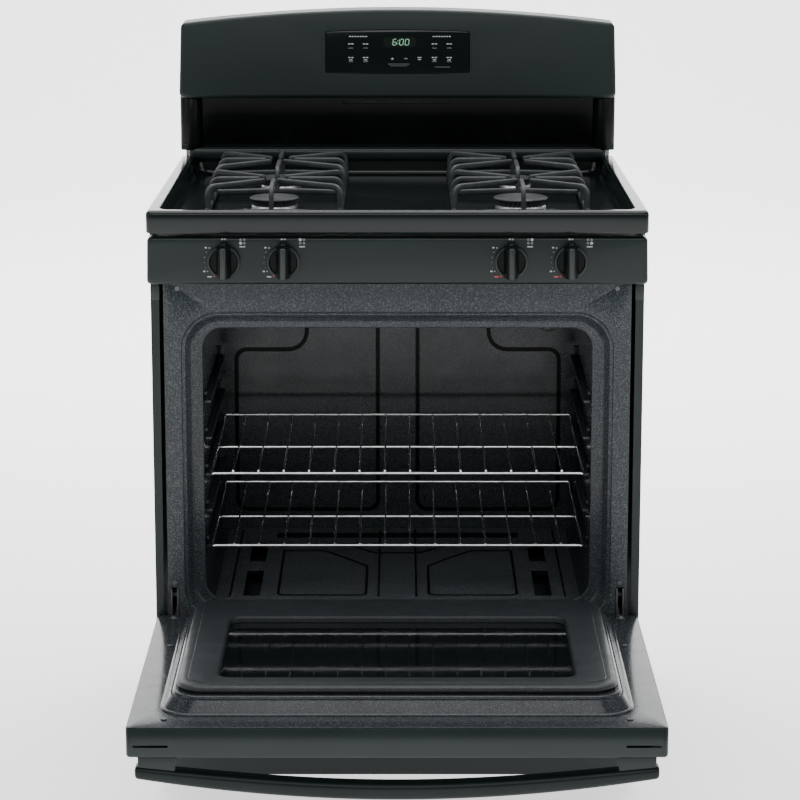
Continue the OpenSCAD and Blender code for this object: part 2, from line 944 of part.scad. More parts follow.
// chrome wire shelf with a raised back wire; its side rails are at height z
module rack(z) {
    bend = 8;
    raise = 14;
    rail = rack_half_w - rack_frame_r;
    front = rack_front_y;
    rear = rack_rear_y;
    wire_top = z + rack_frame_r + rack_wire_r - 0.5;
    both_sides() {
        rod_y(rail, [front + bend, rear], z, rack_frame_r);
        translate([rail - bend, front + bend, z])
            rotate([0, 0, -90])
                rotate_extrude(angle = 90)
                    translate([bend, 0]) circle(rack_frame_r, $fn = 24);
        rod_z(rail, rear, [z - rack_frame_r + 0.1, z + raise], rack_frame_r);
    }
    rod_x([-rail + bend, rail - bend], front, z, rack_frame_r);
    rod_x([-rail, rail], rear, z + raise, rack_frame_r);
    rod_x([-rail, rail], 272, z, rack_frame_r);
    for (i = [-6.5:6.5]) {
        rod_y(i * 39.6, [front, rear + 1], wire_top, rack_wire_r);
        rod_z(i * 39.6, rear, [wire_top, z + raise], rack_wire_r);
    }
}

module rack_upper() {
    place() color(bright) rack(rack_level_0 + 2 * rack_step);
}

module rack_lower() {
    place() color(bright) rack(rack_level_0);
}

// ---- knobs ----

module valve_stem(i) {
    place() color(bright) difference() {
        rod_y(knob_xs[i], [-26, 39], knob_z, 3);
        block([knob_xs[i] - 4, knob_xs[i] + 4], [-27, -12], [knob_z + 2, knob_z + 4]);
    }
}

module knob(i) {
    skirt_back = -knob_push - 1.2;
    x = knob_xs[i];
    place() color(black) difference() {
        union() {
            rod_y(x, [skirt_back - 7, skirt_back], knob_z, knob_r);
            rod_y(x, [skirt_back - 12, skirt_back - 7], knob_z, knob_r - 4);
            block([x - 9, x + 9], [-33, skirt_back - 7], [knob_z - 24, knob_z + 24]);
            block([x - 5, x + 5], [-20, skirt_back - 3], [knob_z, knob_z + 30]);
        }
        rod_y(x, [-29.5, skirt_back + 1], knob_z, 3 + fit);
    }
}

module valve_stem_1() valve_stem(0);
module valve_stem_2() valve_stem(1);
module valve_stem_3() valve_stem(2);
module valve_stem_4() valve_stem(3);
module knob_1() knob(0);
module knob_2() knob(1);
module knob_3() knob(2);
module knob_4() knob(3);

side_panel_left();
side_panel_right();
back_panel();
console_back_cover();
base_frame();
front_frame();
oven_liner();
rack_guides();
oven_floor();
oven_burner();
broil_burner();
oven_lamp();
lamp_socket();
temperature_sensor();
oven_insulation();
cooktop();
control_panel();
gas_manifold();
gas_supply_pipe();
burner_valves();
burner_heads();
burner_caps();
spark_electrodes();
grate_left();
grate_right();
console_shell();
vent_panel();
console_ends();
control_glass();
control_board();
pressure_regulator();
power_inlet();
hinge_receivers();
drawer_rails();
levelling_feet();
chassis_screws();
door_skin();
door_liner();
door_gasket();
door_window_frame();
door_inner_glass();
door_outer_glass();
door_insulation();
door_handle();
door_screws();
hinge_arms();
drawer_front();
drawer_pan();
drawer_runners();
rack_upper();
rack_lower();
valve_stem_1();
valve_stem_2();
valve_stem_3();
valve_stem_4();
knob_1();
knob_2();
knob_3();
knob_4();
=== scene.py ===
"""Looks of the freestanding gas range around its CAD frame."""
import math

import bmesh
import bpy
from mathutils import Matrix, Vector


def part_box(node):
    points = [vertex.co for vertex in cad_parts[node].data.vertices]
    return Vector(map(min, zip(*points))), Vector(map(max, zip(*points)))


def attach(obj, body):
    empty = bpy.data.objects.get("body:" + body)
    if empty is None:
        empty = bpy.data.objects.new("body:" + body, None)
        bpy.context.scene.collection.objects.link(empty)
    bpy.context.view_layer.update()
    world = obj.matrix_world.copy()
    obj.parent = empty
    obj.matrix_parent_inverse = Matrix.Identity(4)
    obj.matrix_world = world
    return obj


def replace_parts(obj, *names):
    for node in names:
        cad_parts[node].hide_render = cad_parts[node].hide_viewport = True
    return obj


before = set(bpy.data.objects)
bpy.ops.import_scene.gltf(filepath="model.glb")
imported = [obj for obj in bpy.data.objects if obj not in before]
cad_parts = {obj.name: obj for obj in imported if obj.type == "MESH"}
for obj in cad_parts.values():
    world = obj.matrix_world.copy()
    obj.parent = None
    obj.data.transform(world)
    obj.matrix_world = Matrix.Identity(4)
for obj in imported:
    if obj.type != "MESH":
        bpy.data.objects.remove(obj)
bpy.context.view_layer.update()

# ---- places: millimetres from the face of the control panel, as in the CAD ----

MM = 0.001
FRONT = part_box("control_panel")[0][1]
CABINET, DOOR = "cabinet", "door"
UP = Vector((0, 0, 1))


def at(x, y, z):
    """A point of the scene from a place in millimetres."""
    return Vector((x * MM, FRONT + y * MM, z * MM))


# ---- camera ----

CAMERA_DISTANCE, CAMERA_HEIGHT, CAMERA_TILT = 4.2952, 1.565, 12.3
CAMERA_SIDE = 0.004
CAMERA_LENS = 129.6


def make_camera():
    """A long lens in front of the range, a little above it, looking down at the open oven."""
    data = bpy.data.cameras.new("camera")
    cam = bpy.data.objects.new("camera", data)
    bpy.context.scene.collection.objects.link(cam)
    cam.location = (CAMERA_SIDE, FRONT - CAMERA_DISTANCE, CAMERA_HEIGHT)
    cam.rotation_euler = (math.radians(90 - CAMERA_TILT), 0, 0)
    data.lens = CAMERA_LENS
    data.clip_start, data.clip_end = 0.1, 50
    bpy.context.scene.camera = cam


# ---- materials ----

def ramp(nodes, stops):
    """A colour ramp through (position, colour) stops."""
    node = nodes.new("ShaderNodeValToRGB")
    while len(node.color_ramp.elements) < len(stops):
        node.color_ramp.elements.new(0.5)
    for element, (pos, color) in zip(node.color_ramp.elements, stops):
        element.position = pos
        element.color = (*color, 1)
    return node


class Finish:
    """A principled material that is given its detail step by step."""

    def __init__(self, name, color, rough, metal=0.0):
        self.mat = bpy.data.materials.new(name)
        self.mat.use_nodes = True
        self.nodes, self.links = self.mat.node_tree.nodes, self.mat.node_tree.links
        self.shader = self.nodes["Principled BSDF"]
        self.set("Base Color", (*color, 1))
        self.set("Roughness", rough)
        self.set("Metallic", metal)
        self.coords = self.nodes.new("ShaderNodeTexCoord").outputs["Object"]

    def set(self, socket, value):
        """Sets a socket of the shader to a constant."""
        self.shader.inputs[socket].default_value = value

    def noise(self, scale, detail, stretch=None):
        """A noise over the object's own coordinates, scaled per axis by stretch."""
        node = self.nodes.new("ShaderNodeTexNoise")
        node.inputs["Scale"].default_value = scale
        node.inputs["Detail"].default_value = detail
        source = self.coords
        if stretch:
            mapping = self.nodes.new("ShaderNodeMapping")
            mapping.inputs["Scale"].default_value = stretch
            self.links.new(source, mapping.inputs["Vector"])
            source = mapping.outputs["Vector"]
        self.links.new(source, node.inputs["Vector"])
        return node.outputs["Fac"]

    def tint(self, fac, low, high, start=0.35, end=0.65):
        """Colour that goes from low to high with a noise."""
        node = ramp(self.nodes, [(start, low), (end, high)])
        self.links.new(fac, node.inputs["Fac"])
        self.links.new(node.outputs["Color"], self.shader.inputs["Base Color"])
        return node.outputs["Color"]

    def over(self, base, fac, color, start, end):
        """Small marks of another colour over a base colour, where a noise is high."""
        mask = ramp(self.nodes, [(start, (0, 0, 0)), (end, (1, 1, 1))])
        self.links.new(fac, mask.inputs["Fac"])
        mix = self.nodes.new("ShaderNodeMix")
        mix.data_type = "RGBA"
        self.links.new(mask.outputs["Color"], mix.inputs["Factor"])
        self.links.new(base, mix.inputs[6])
        mix.inputs[7].default_value = (*color, 1)
        self.links.new(mix.outputs[2], self.shader.inputs["Base Color"])
        return mix.outputs[2]

    def vary_rough(self, fac, low, high):
        """Roughness that goes from low to high with a noise."""
        node = self.nodes.new("ShaderNodeMapRange")
        node.inputs["From Min"].default_value = 0.3
        node.inputs["From Max"].default_value = 0.7
        node.inputs["To Min"].default_value = low
        node.inputs["To Max"].default_value = high
        self.links.new(fac, node.inputs["Value"])
        self.links.new(node.outputs["Result"], self.shader.inputs["Roughness"])

    def bump(self, fac, strength, distance):
        """Relief from a noise; distance is its height in metres."""
        node = self.nodes.new("ShaderNodeBump")
        node.inputs["Strength"].default_value = strength
        node.inputs["Distance"].default_value = distance
        self.links.new(fac, node.inputs["Height"])
        self.links.new(node.outputs["Normal"], self.shader.inputs["Normal"])


def scaled(color, k):
    return tuple(c * k for c in color)


def enamel(name, color, rough, peel=0.12, shine=0.3):
    """Baked enamel: faint cloudiness, slightly uneven gloss and orange peel."""
    f = Finish(name, color, rough)
    f.set("Specular IOR Level", shine)
    f.set("Coat Weight", 0.08)
    f.set("Coat Roughness", 0.15)
    f.tint(f.noise(6, 3), scaled(color, 0.9), scaled(color, 1.1))
    f.vary_rough(f.noise(14, 4), rough * 0.96, rough * 1.05)
    f.bump(f.noise(420, 2), peel, 0.0004)
    return f.mat


def porcelain(name, color, fleck, rough, shine=0.3):
    """Ground-coat porcelain: glossy blue-grey with fine pale and dark flecks."""
    f = Finish(name, color, rough)
    f.set("Specular IOR Level", shine)
    f.set("Coat Weight", shine * 0.4)
    f.set("Coat Roughness", 0.12)
    base = f.tint(f.noise(9, 3), scaled(color, 0.9), scaled(color, 1.1))
    dark = f.over(base, f.noise(480, 1), scaled(color, 0.45), 0.54, 0.62)
    f.over(dark, f.noise(640, 1), fleck, 0.56, 0.68)
    f.vary_rough(f.noise(30, 3), rough * 0.85, rough * 1.2)
    f.bump(f.noise(600, 2), 0.12, 0.0004)
    return f.mat


def brushed(name, color, rough, stretch):
    """Bare metal with a grain along the axis where stretch is small."""
    f = Finish(name, color, rough, 1.0)
    f.tint(f.noise(60, 3), scaled(color, 0.85), scaled(color, 1.08))
    grain = f.noise(300, 3, stretch)
    f.vary_rough(grain, rough * 0.75, rough * 1.25)
    f.bump(grain, 0.12, 0.0003)
    return f.mat


def moulded(name, color, rough, grain=900, shine=0.35):
    """Moulded plastic, ceramic or wool with a fine grain."""
    f = Finish(name, color, rough)
    f.set("Specular IOR Level", shine)
    f.tint(f.noise(20, 3), scaled(color, 0.9), scaled(color, 1.12))
    f.vary_rough(f.noise(60, 3), rough * 0.9, rough * 1.12)
    f.bump(f.noise(grain, 2), 0.15, 0.0003)
    return f.mat


def cast(name, color, rough):
    """Enamelled iron casting: matte with a fine sandy skin and worn high spots."""
    f = Finish(name, color, rough)
    base = f.tint(f.noise(70, 4), scaled(color, 0.8), scaled(color, 1.25))
    f.over(base, f.noise(700, 2), scaled(color, 1.9), 0.62, 0.75)
    f.vary_rough(f.noise(120, 3), rough * 0.85, rough * 1.15)
    f.bump(f.noise(650, 3), 0.5, 0.0006)
    return f.mat


def glass(name, color, rough, see_through):
    """Glass with faint smears; dark panes let no light through."""
    f = Finish(name, color, rough)
    f.set("IOR", 1.5)
    f.set("Transmission Weight", see_through)
    f.set("Specular IOR Level", 0.6)
    f.vary_rough(f.noise(12, 3), rough * 0.7, rough * 1.4)
    return f.mat


def glowing(name, color, strength):
    """Marks with light of their own: a painted glow on printed marks, real light in the display digits."""
    f = Finish(name, color, 0.5)
    f.set("Emission Color", (*color, 1))
    f.set("Emission Strength", strength)
    return f.mat


def braid(name, color):
    """Woven glass-fibre rope of the door seal."""
    f = Finish(name, color, 0.85)
    f.set("Sheen Weight", 0.3)
    weave = f.nodes.new("ShaderNodeTexWave")
    weave.inputs["Scale"].default_value = 260
    weave.inputs["Distortion"].default_value = 3
    f.links.new(f.coords, weave.inputs["Vector"])
    f.tint(weave.outputs["Fac"], scaled(color, 0.5), scaled(color, 1.6), 0.2, 0.8)
    f.bump(weave.outputs["Fac"], 0.8, 0.0008)
    return f.mat


FINISHES = {
    enamel: {
        "body_enamel": ((0.0070, 0.0130, 0.0130), 0.34),
        "cooktop_enamel": ((0.0030, 0.0062, 0.0062), 0.18, 0.05),
        "vent_gloss": ((0.0010, 0.0016, 0.0016), 0.14, 0.03, 0.2),
        "recess_shadow": ((0.0018, 0.0026, 0.0026), 0.5, 0.08, 0.12),
        "console_paint": ((0.0072, 0.0135, 0.0135), 0.42, 0.16, 0.26),
        "trim_paint": ((0.030, 0.036, 0.036), 0.5, 0.16),
        "bead_shadow": ((0.0025, 0.003, 0.003), 0.6, 0.02, 0.1),
        "control_glass": ((0.0015, 0.0042, 0.0042), 0.09, 0.01, 0.22),
        "display": ((0.002, 0.006, 0.0035), 0.2, 0.02),
    },
    porcelain: {
        "oven_porcelain": ((0.034, 0.041, 0.046), (0.105, 0.118, 0.127), 0.2, 0.22),
        "bezel_porcelain": ((0.021, 0.026, 0.029), (0.055, 0.062, 0.066), 0.45, 0.22),
        "oven_porcelain_dark": ((0.034, 0.043, 0.049), (0.07, 0.08, 0.088), 0.22),
        "floor_porcelain": ((0.075, 0.088, 0.095), (0.12, 0.135, 0.145), 0.18),
        "liner_porcelain": ((0.024, 0.029, 0.033), (0.085, 0.097, 0.105), 0.2, 0.2),
    },
    brushed: {
        "galvanised_steel": ((0.42, 0.44, 0.45), 0.45, (1, 1, 0.1)),
        "aluminised_steel": ((0.5, 0.5, 0.48), 0.4, (1, 0.1, 1)),
        "bare_aluminium": ((0.9, 0.91, 0.92), 0.34, (0.05, 0.05, 0.05)),
        "valve_brass": ((0.7, 0.5, 0.2), 0.3, (1, 1, 1)),
        "rack_chrome": ((0.86, 0.87, 0.88), 0.12, (1, 0.2, 1)),
        "stem_steel": ((0.6, 0.6, 0.6), 0.3, (1, 0.1, 1)),
        "zinc_screws": ((0.13, 0.135, 0.14), 0.5, (1, 1, 1)),
    },
    cast: {
        "cast_iron": ((0.026, 0.032, 0.033), 0.5),
        "cap_enamel": ((0.036, 0.040, 0.042), 0.5),
    },
    moulded: {
        "handle_plastic": ((0.0045, 0.0085, 0.0085), 0.36, 900, 0.22),
        "knob_plastic": ((0.0025, 0.004, 0.004), 0.32, 900, 0.15),
        # Painted highlight: a lighter copy of the knob plastic, for the knob's rim and grip ridge.
        "knob_rim": ((0.022, 0.028, 0.028), 0.34),
        "black_nylon": ((0.015, 0.015, 0.016), 0.5),
        "circuit_board": ((0.02, 0.12, 0.05), 0.5),
        "white_ceramic": ((0.7, 0.68, 0.62), 0.6),
        "mineral_wool": ((0.5, 0.42, 0.2), 0.95, 200),
    },
    braid: {
        "gasket_braid": ((0.015, 0.016, 0.017),),
    },
    glass: {
        "window_glass": ((0.004, 0.006, 0.006), 0.04, 0.0),
        "lamp_glass": ((0.9, 0.9, 0.88), 0.08, 0.85),
    },
    glowing: {
        # The printed marks below get a painted glow; only the display digits are really lit.
        "legend": ((0.36, 0.39, 0.40), 0.1),
        "legend_dim": ((0.13, 0.145, 0.145), 0.04),
        "legend_red": ((0.45, 0.05, 0.05), 0.2),
        "digits": ((0.30, 0.62, 0.40), 0.55),
    },
}
MATERIALS = {name: make(name, *values) for make, table in FINISHES.items() for name, values in table.items()}
SHARP = 32


# ---- shapes ----

def new_object(name, bm):
    """Turns a bmesh into an object of the scene."""
    mesh = bpy.data.meshes.new(name)
    bm.to_mesh(mesh)
    bm.free()
    obj = bpy.data.objects.new(name, mesh)
    bpy.context.scene.collection.objects.link(obj)
    return obj


def link(name, bm, mat, body, sharp=SHARP):
    """A finished piece from a bmesh: smooth, with its sharp edges marked."""
    bmesh.ops.remove_doubles(bm, verts=bm.verts, dist=1e-6)
    bmesh.ops.recalc_face_normals(bm, faces=bm.faces)
    limit = math.radians(sharp)
    for edge in bm.edges:
        edge.smooth = len(edge.link_faces) == 2 and edge.calc_face_angle(0) < limit
    for face in bm.faces:
        face.smooth = True
    obj = new_object(name, bm)
    obj.data.materials.append(MATERIALS[mat])
    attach(obj, body)
    return obj


def loft(bm, loops, closed=True, cap_start=False, cap_end=False):
    """Joins rows of points with faces; a closed row runs round."""
    rows = [[bm.verts.new(p) for p in loop] for loop in loops]
    count = len(rows[0])
    for low, high in zip(rows, rows[1:]):
        for i in range(count if closed else count - 1):
            j = (i + 1) % count
            bm.faces.new((low[i], low[j], high[j], high[i]))
    if cap_start:
        bm.faces.new(rows[0][::-1])
    if cap_end:
        bm.faces.new(rows[-1])


def round_outline(corners, radius, steps=8):
    """Points round a convex outline, with each corner turned into an arc."""
    out = []
    count = len(corners)
    for i, corner in enumerate(corners):
        b = Vector(corner)
        u = (Vector(corners[i - 1]) - b).normalized()
        v = (Vector(corners[(i + 1) % count]) - b).normalized()
        half = u.angle(v) / 2
        centre = b + (u + v).normalized() * (radius / math.sin(half))
        a = b + u * radius / math.tan(half) - centre
        c = b + v * radius / math.tan(half) - centre
        start = math.atan2(a.y, a.x)
        turn = (math.atan2(c.y, c.x) - start + math.pi) % (2 * math.pi) - math.pi
        for k in range(steps + 1):
            angle = start + turn * k / steps
            out.append((centre.x + radius * math.cos(angle), centre.y + radius * math.sin(angle)))
    return out


def rect(half_w, v, radius, steps=8):
    """A rectangle symmetric in x, from v[0] to v[1], with round corners."""
    return round_outline([(-half_w, v[0]), (half_w, v[0]), (half_w, v[1]), (-half_w, v[1])], radius, steps)


def upright(outline, y):
    """Stands an outline up at depth y."""
    return [at(u, y, v) for u, v in outline]


def flat(outline, z):
    """Lays an outline flat at height z."""
    return [at(u, v, z) for u, v in outline]


def quarter(start, end, steps=5, bulge_first=True):
    """Pairs of values from start to end along a quarter of an ellipse."""
    out = []
    for k in range(steps + 1):
        t = math.pi / 2 * k / steps
        fast, slow = math.sin(t), 1 - math.cos(t)
        a, b = (fast, slow) if bulge_first else (slow, fast)
        out.append((start[0] + (end[0] - start[0]) * a, start[1] + (end[1] - start[1]) * b))
    return out


def fillet(points, radius, steps=6):
    """A path with each inner corner rounded."""
    out = [points[0]]
    for a, b, c in zip(points, points[1:], points[2:]):
        u, v = (a - b).normalized(), (c - b).normalized()
        angle = u.angle(v)
        if math.pi - angle < 0.02:
            out.append(b)
            continue
        reach = min(radius / math.tan(angle / 2), (a - b).length * 0.49, (c - b).length * 0.49)
        r = reach * math.tan(angle / 2)
        centre = b + (u + v).normalized() * (r / math.sin(angle / 2))
        first, last = (b + u * reach - centre).normalized(), (b + v * reach - centre).normalized()
        for k in range(steps + 1):
            out.append(centre + first.slerp(last, k / steps) * r)
    out.append(points[-1])
    return out


def sweep(bm, path, section, up=UP, closed=False):
    """Carries a section of (side, up) offsets in metres along a path."""
    rows = []
    last = len(path) - 1
    side = None
    for i, p in enumerate(path):
        if closed:
            along = (path[(i + 1) % len(path)] - path[i - 1]).normalized()
        else:
            along = (path[min(i + 1, last)] - path[max(i - 1, 0)]).normalized()
        if side is None:
            side = along.cross(up)
            if side.length < 1e-3:
                side = along.cross(Vector((1, 0, 0)))
        side = (side - along * side.dot(along)).normalized()
        lift = side.cross(along)
        rows.append([p + side * s + lift * t for s, t in section])
    if closed:
        rows.append(rows[0])
    loft(bm, rows, cap_start=not closed, cap_end=not closed)


def ring(r, count):
    """A round section of radius r millimetres."""
    return [(r * MM * math.cos(2 * math.pi * k / count), r * MM * math.sin(2 * math.pi * k / count))
            for k in range(count)]


def bar_section(w, h, radius):
    """A rounded rectangle as a sweep section; the path runs through its middle."""
    return [(u * MM, v * MM) for u, v in rect(w / 2, (-h / 2, h / 2), radius, 3)]


def wire(bm, points, r, bend=8, count=12):
    """A round wire through points, bent round at its corners."""
    sweep(bm, fillet(points, bend * MM), ring(r, count))


def lathe(bm, origin, profile, steps=48, axis="z", bored=False):
    """Turns (radius, height) pairs round an axis through origin; a bored one is a ring with a hole."""
    rows = []
    for r, h in profile:
        row = []
        for k in range(steps):
            a = 2 * math.pi * k / steps
            u, v = r * MM * math.cos(a), r * MM * math.sin(a)
            offset = Vector((u, v, h * MM)) if axis == "z" else Vector((u, -h * MM, v))
            row.append(origin + offset)
        rows.append(row)
    if bored:
        rows.append(rows[0])
    loft(bm, rows, cap_start=not bored, cap_end=not bored)


def soft_box(bm, x, y, z, radius):
    """A box with rounded edges all round."""
    half = ((x[1] - x[0]) / 2, (y[1] - y[0]) / 2)
    mid = ((x[1] + x[0]) / 2, (y[1] + y[0]) / 2)

    def outline(d):
        points = rect(half[0] - d, (-half[1] + d, half[1] - d), radius * 1.05, 4)
        return [(mid[0] + u, mid[1] + v) for u, v in points]

    edge = quarter((0, 0), (radius, radius), 3)
    rows = [flat(outline(radius - a), z[0] + b) for a, b in edge]
    rows += [flat(outline(radius - a), z[1] - b) for a, b in edge[::-1]]
    loft(bm, rows, cap_start=True, cap_end=True)


def dress(node, mat, bevel):
    """Gives a CAD node its finish and edges softened by bevel millimetres."""
    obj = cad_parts[node]
    obj.data.materials.clear()
    obj.data.materials.append(MATERIALS[mat])
    if bevel:
        weld = obj.modifiers.new("weld", "WELD")
        weld.merge_threshold = 1e-5
        edge = obj.modifiers.new("bevel", "BEVEL")
        edge.width = bevel * MM
        edge.segments = 2
        edge.limit_method = "ANGLE"
        edge.angle_limit = math.radians(SHARP)
        edge.harden_normals = True


def cut(obj, bm):
    """Cuts closed shapes out of a piece."""
    bmesh.ops.recalc_face_normals(bm, faces=bm.faces)
    helper = new_object("cutter", bm)
    mod = obj.modifiers.new("cut", "BOOLEAN")
    mod.operation = "DIFFERENCE"
    mod.solver = "EXACT"
    mod.object = helper
    bpy.context.view_layer.update()
    shape = obj.evaluated_get(bpy.context.evaluated_depsgraph_get())
    mesh = bpy.data.meshes.new_from_object(shape)
    obj.modifiers.clear()
    obj.data = mesh
    bpy.data.objects.remove(helper)


# ---- cooktop ----

DECK_Z, RIM_Z = 890.0, 921.0
DECK_FRONT, DECK_REAR = -10, 640
DECK_HALF = (379.0, 371.5)


def deck_row(side, front, rear, z, radius):
    """One outline round the cooktop, stepped in from its edges."""
    y0, y1 = DECK_FRONT + front, DECK_REAR - rear
    slope = (DECK_HALF[1] - DECK_HALF[0]) / (DECK_REAR - DECK_FRONT)
    a = DECK_HALF[0] - side + slope * front
    b = DECK_HALF[1] - side - slope * rear
    return flat(round_outline([(-a, y0), (a, y0), (b, y1), (-b, y1)], radius, 6), z)


def make_cooktop():
    """The pressed top: rolled rim, recessed deck, and the ledge along its rear."""
    rows = [deck_row(2, 2, 2, 886.5, 6), deck_row(0, 0, 0, 889, 8)]
    for t, z in quarter((0, 914.5), (1, RIM_Z), 5, bulge_first=False):
        rows.append(deck_row(6 * t, 8 * t, 6 * t, z, 8 + 2 * t))
    rows.append(deck_row(16, 14, 12, RIM_Z, 16))
    for t, z in quarter((0, RIM_Z), (1, 915.5), 5):
        rows.append(deck_row(16 + 7 * t, 14 + 9 * t, 12 + 6 * t, z, 16 + 5 * t))
    rows.append(deck_row(25, 28, 20, 901, 24))
    for t, z in quarter((0, 901), (1, DECK_Z), 6, bulge_first=False):
        rows.append(deck_row(25 + 9 * t, 28 + 10 * t, 20 + 4 * t, z, 24 + 9 * t))
    bm = bmesh.new()
    loft(bm, rows, cap_start=True, cap_end=True)
    top = link("cooktop_pressing", bm, "cooktop_enamel", CABINET, 40)
    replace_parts(top, "cooktop")
    bm = bmesh.new()
    soft_box(bm, (-357, 357), (606, 639.5), (915, 936.5), 7)
    link("cooktop_rear_ledge", bm, "body_enamel", CABINET)


# ---- burners ----

BURNERS = [(-195, 232, 39), (-195, 462, 35), (195, 232, 43), (195, 462, 28)]
RIB_COUNT = 36


def igniter_place(x, y, r):
    """The igniter stands behind and to the right of its burner."""
    return at(x, y, 0) + Vector((1, 1, 0)).normalized() * (r + 6) * MM


def make_burners():
    """Bowl, bare ring, ribbed crown, cap and igniter of each burner."""
    rings, crowns, caps, pins, bowls = (bmesh.new() for _ in range(5))
    for x, y, r in BURNERS:
        o = at(x, y, 0)
        base = r - 4.5
        lathe(bowls, o, [(0, 890.1), (r + 9, 890.1), (r + 8.4, 890.8), (r + 4, 891.6), (r, 891.2),
                         (0, 891.2)])
        lathe(rings, o, [(0, 890.2), (base + 1.2, 890.2), (base + 2.0, 891.4), (base + 1.6, 893.2),
                         (base + 0.4, 895.4), (base - 1.2, 896.0), (0, 896.0)], 64)
        ribs = []
        for height, reach in [(895.6, 1.2), (904.7, 3.2)]:
            row = []
            for k in range(RIB_COUNT * 4):
                out = base + reach if k % 4 in (0, 1) else base - 2.6
                a = 2 * math.pi * (k + (0.18 if k % 4 in (0, 2) else -0.18)) / (RIB_COUNT * 4)
                row.append(o + Vector((out * MM * math.cos(a), out * MM * math.sin(a), height * MM)))
            ribs.append(row)
        loft(crowns, ribs, cap_start=True, cap_end=True)
        lathe(caps, o, [(0, 904.4), (r - 2, 904.4), (r - 0.3, 905.0), (r, 905.9), (r - 0.5, 907.0),
                        (r - 2.4, 907.8), (r - 6, 908.1), (r - 7, 908.5), (r - 9, 908.8), (0, 909)], 72)
        lathe(pins, igniter_place(x, y, r), [(0, 890.2), (3.2, 890.2), (3.4, 893), (2.8, 893.8), (2.6, 898.4),
                                             (1.9, 899.2), (0, 899.2)], 20)
    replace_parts(link("burner_rings", rings, "bare_aluminium", CABINET), "burner_heads")
    link("burner_crowns", crowns, "cap_enamel", CABINET)
    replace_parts(link("burner_covers", caps, "cap_enamel", CABINET), "burner_caps")
    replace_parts(link("igniter_ceramics", pins, "white_ceramic", CABINET), "spark_electrodes")
    link("burner_bowls", bowls, "cooktop_enamel", CABINET)
    tips = bmesh.new()
    for x, y, r in BURNERS:
        lathe(tips, igniter_place(x, y, r),
              [(0, 899), (0.8, 899), (0.8, 901.4), (0.3, 902.1), (0, 902.2)], 12)
    link("igniter_tips", tips, "stem_steel", CABINET)


# ---- grates ----

GRATE_SIDES = (-100, 107)
GRATE_FRONT, GRATE_REAR = 116, 574
GRATE_MID = 347
FRAME_Z, FINGER_Z = 898.2, 935.2


FINGER_BEND = 13


def finger(bm, root, tip):
    """A bar that rises from the frame at root and runs level to a round end at tip."""
    a, b = Vector((*root, FRAME_Z)), Vector((*root, FINGER_Z))
    c = Vector((*tip, FINGER_Z))
    run = (c - b).normalized()
    path = fillet([a, b + run * 1.5, c], FINGER_BEND, 7)
    path = [at(*p) for p in path]
    sweep(bm, path, bar_section(7.4, 9.2, 2.4), up=-run)
    lathe(bm, at(tip[0], tip[1], 0), [(0, FINGER_Z - 4.4), (2.6, FINGER_Z - 4.2), (3.5, FINGER_Z - 2.8),
                                      (3.5, FINGER_Z + 2.8), (2.6, FINGER_Z + 4.2), (0, FINGER_Z + 4.4)], 16)


def make_grate(name, node, centre, turn):
    """One casting over a front and a rear burner; turn mirrors it in x."""
    bm = bmesh.new()

    def place(x, y):
        return centre + turn * x, y

    for x in GRATE_SIDES:
        path = [at(*place(x, GRATE_FRONT + t * (GRATE_REAR - GRATE_FRONT)), FRAME_Z) for t in
                [k / 12 for k in range(13)]]
        sweep(bm, path, bar_section(7.6, 9.6, 2.6))
    for y in (GRATE_FRONT + 4, GRATE_MID, GRATE_REAR - 4):
        span = GRATE_SIDES[1] - GRATE_SIDES[0]
        path = []
        for k in range(17):
            t = k / 16
            lift = 2.2 * math.sin(math.pi * t) ** 2
            path.append(at(*place(GRATE_SIDES[0] + t * span, y), FRAME_Z + lift))
        sweep(bm, path, bar_section(7.6, 9.4, 2.6))
    for x in GRATE_SIDES:
        for y in (GRATE_FRONT + 8, GRATE_REAR - 8):
            u, v = place(x, y)
            lathe(bm, at(u, v, 0), [(0, 890.4), (4.2, 890.4), (5, 891.2), (5, 897), (0, 899)], 20)
    for _, y, _ in BURNERS[:2]:
        for side, x in ((-1, GRATE_SIDES[0]), (1, GRATE_SIDES[1])):
            finger(bm, place(x, y - 90), place(-17 if side < 0 else 9, y - 20))
            finger(bm, place(x, y), place(side * 26, y))
            finger(bm, place(x, y + 90), place(side * 17, y + 20))
        start = GRATE_FRONT + 4 if y < GRATE_MID else GRATE_MID
        finger(bm, place(0, start), place(0, y - 22))
    finger(bm, place(0, GRATE_REAR - 4), place(0, BURNERS[1][1] + 22))
    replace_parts(link(name, bm, "cast_iron", node, 50), node)


# ---- control panel and knobs ----

KNOB_X = (-262, -172, 172, 262)
KNOB_Z = 843
STEM_BORE = 3.5
STEM_REACH = 29.1


def make_panel():
    """The control panel: a round-edged bar with a hole for each valve stem."""
    half, low, high = 379.5, 807.2, 879.4

    def outline(d):
        corners = [(-half + d, low + d), (half - d, low + d), (half - 1.5 - d, high - d),
                   (-half + 1.5 + d, high - d)]
        return round_outline(corners, 6.5, 6)

    rows = [upright(outline(1.2), 40), upright(outline(0), 38.5), upright(outline(0), 5)]
    rows += [upright(outline(d), y) for d, y in quarter((0, 5), (5, 0), 6, bulge_first=False)]
    bm = bmesh.new()
    loft(bm, rows, cap_start=True, cap_end=True)
    panel = link("knob_panel", bm, "body_enamel", CABINET, 40)
    holes = bmesh.new()
    for x in KNOB_X:
        lathe(holes, at(x, 0, KNOB_Z), [(STEM_BORE, -42), (STEM_BORE, 2)], 40, axis="y")
    cut(panel, holes)
    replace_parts(panel, "control_panel")


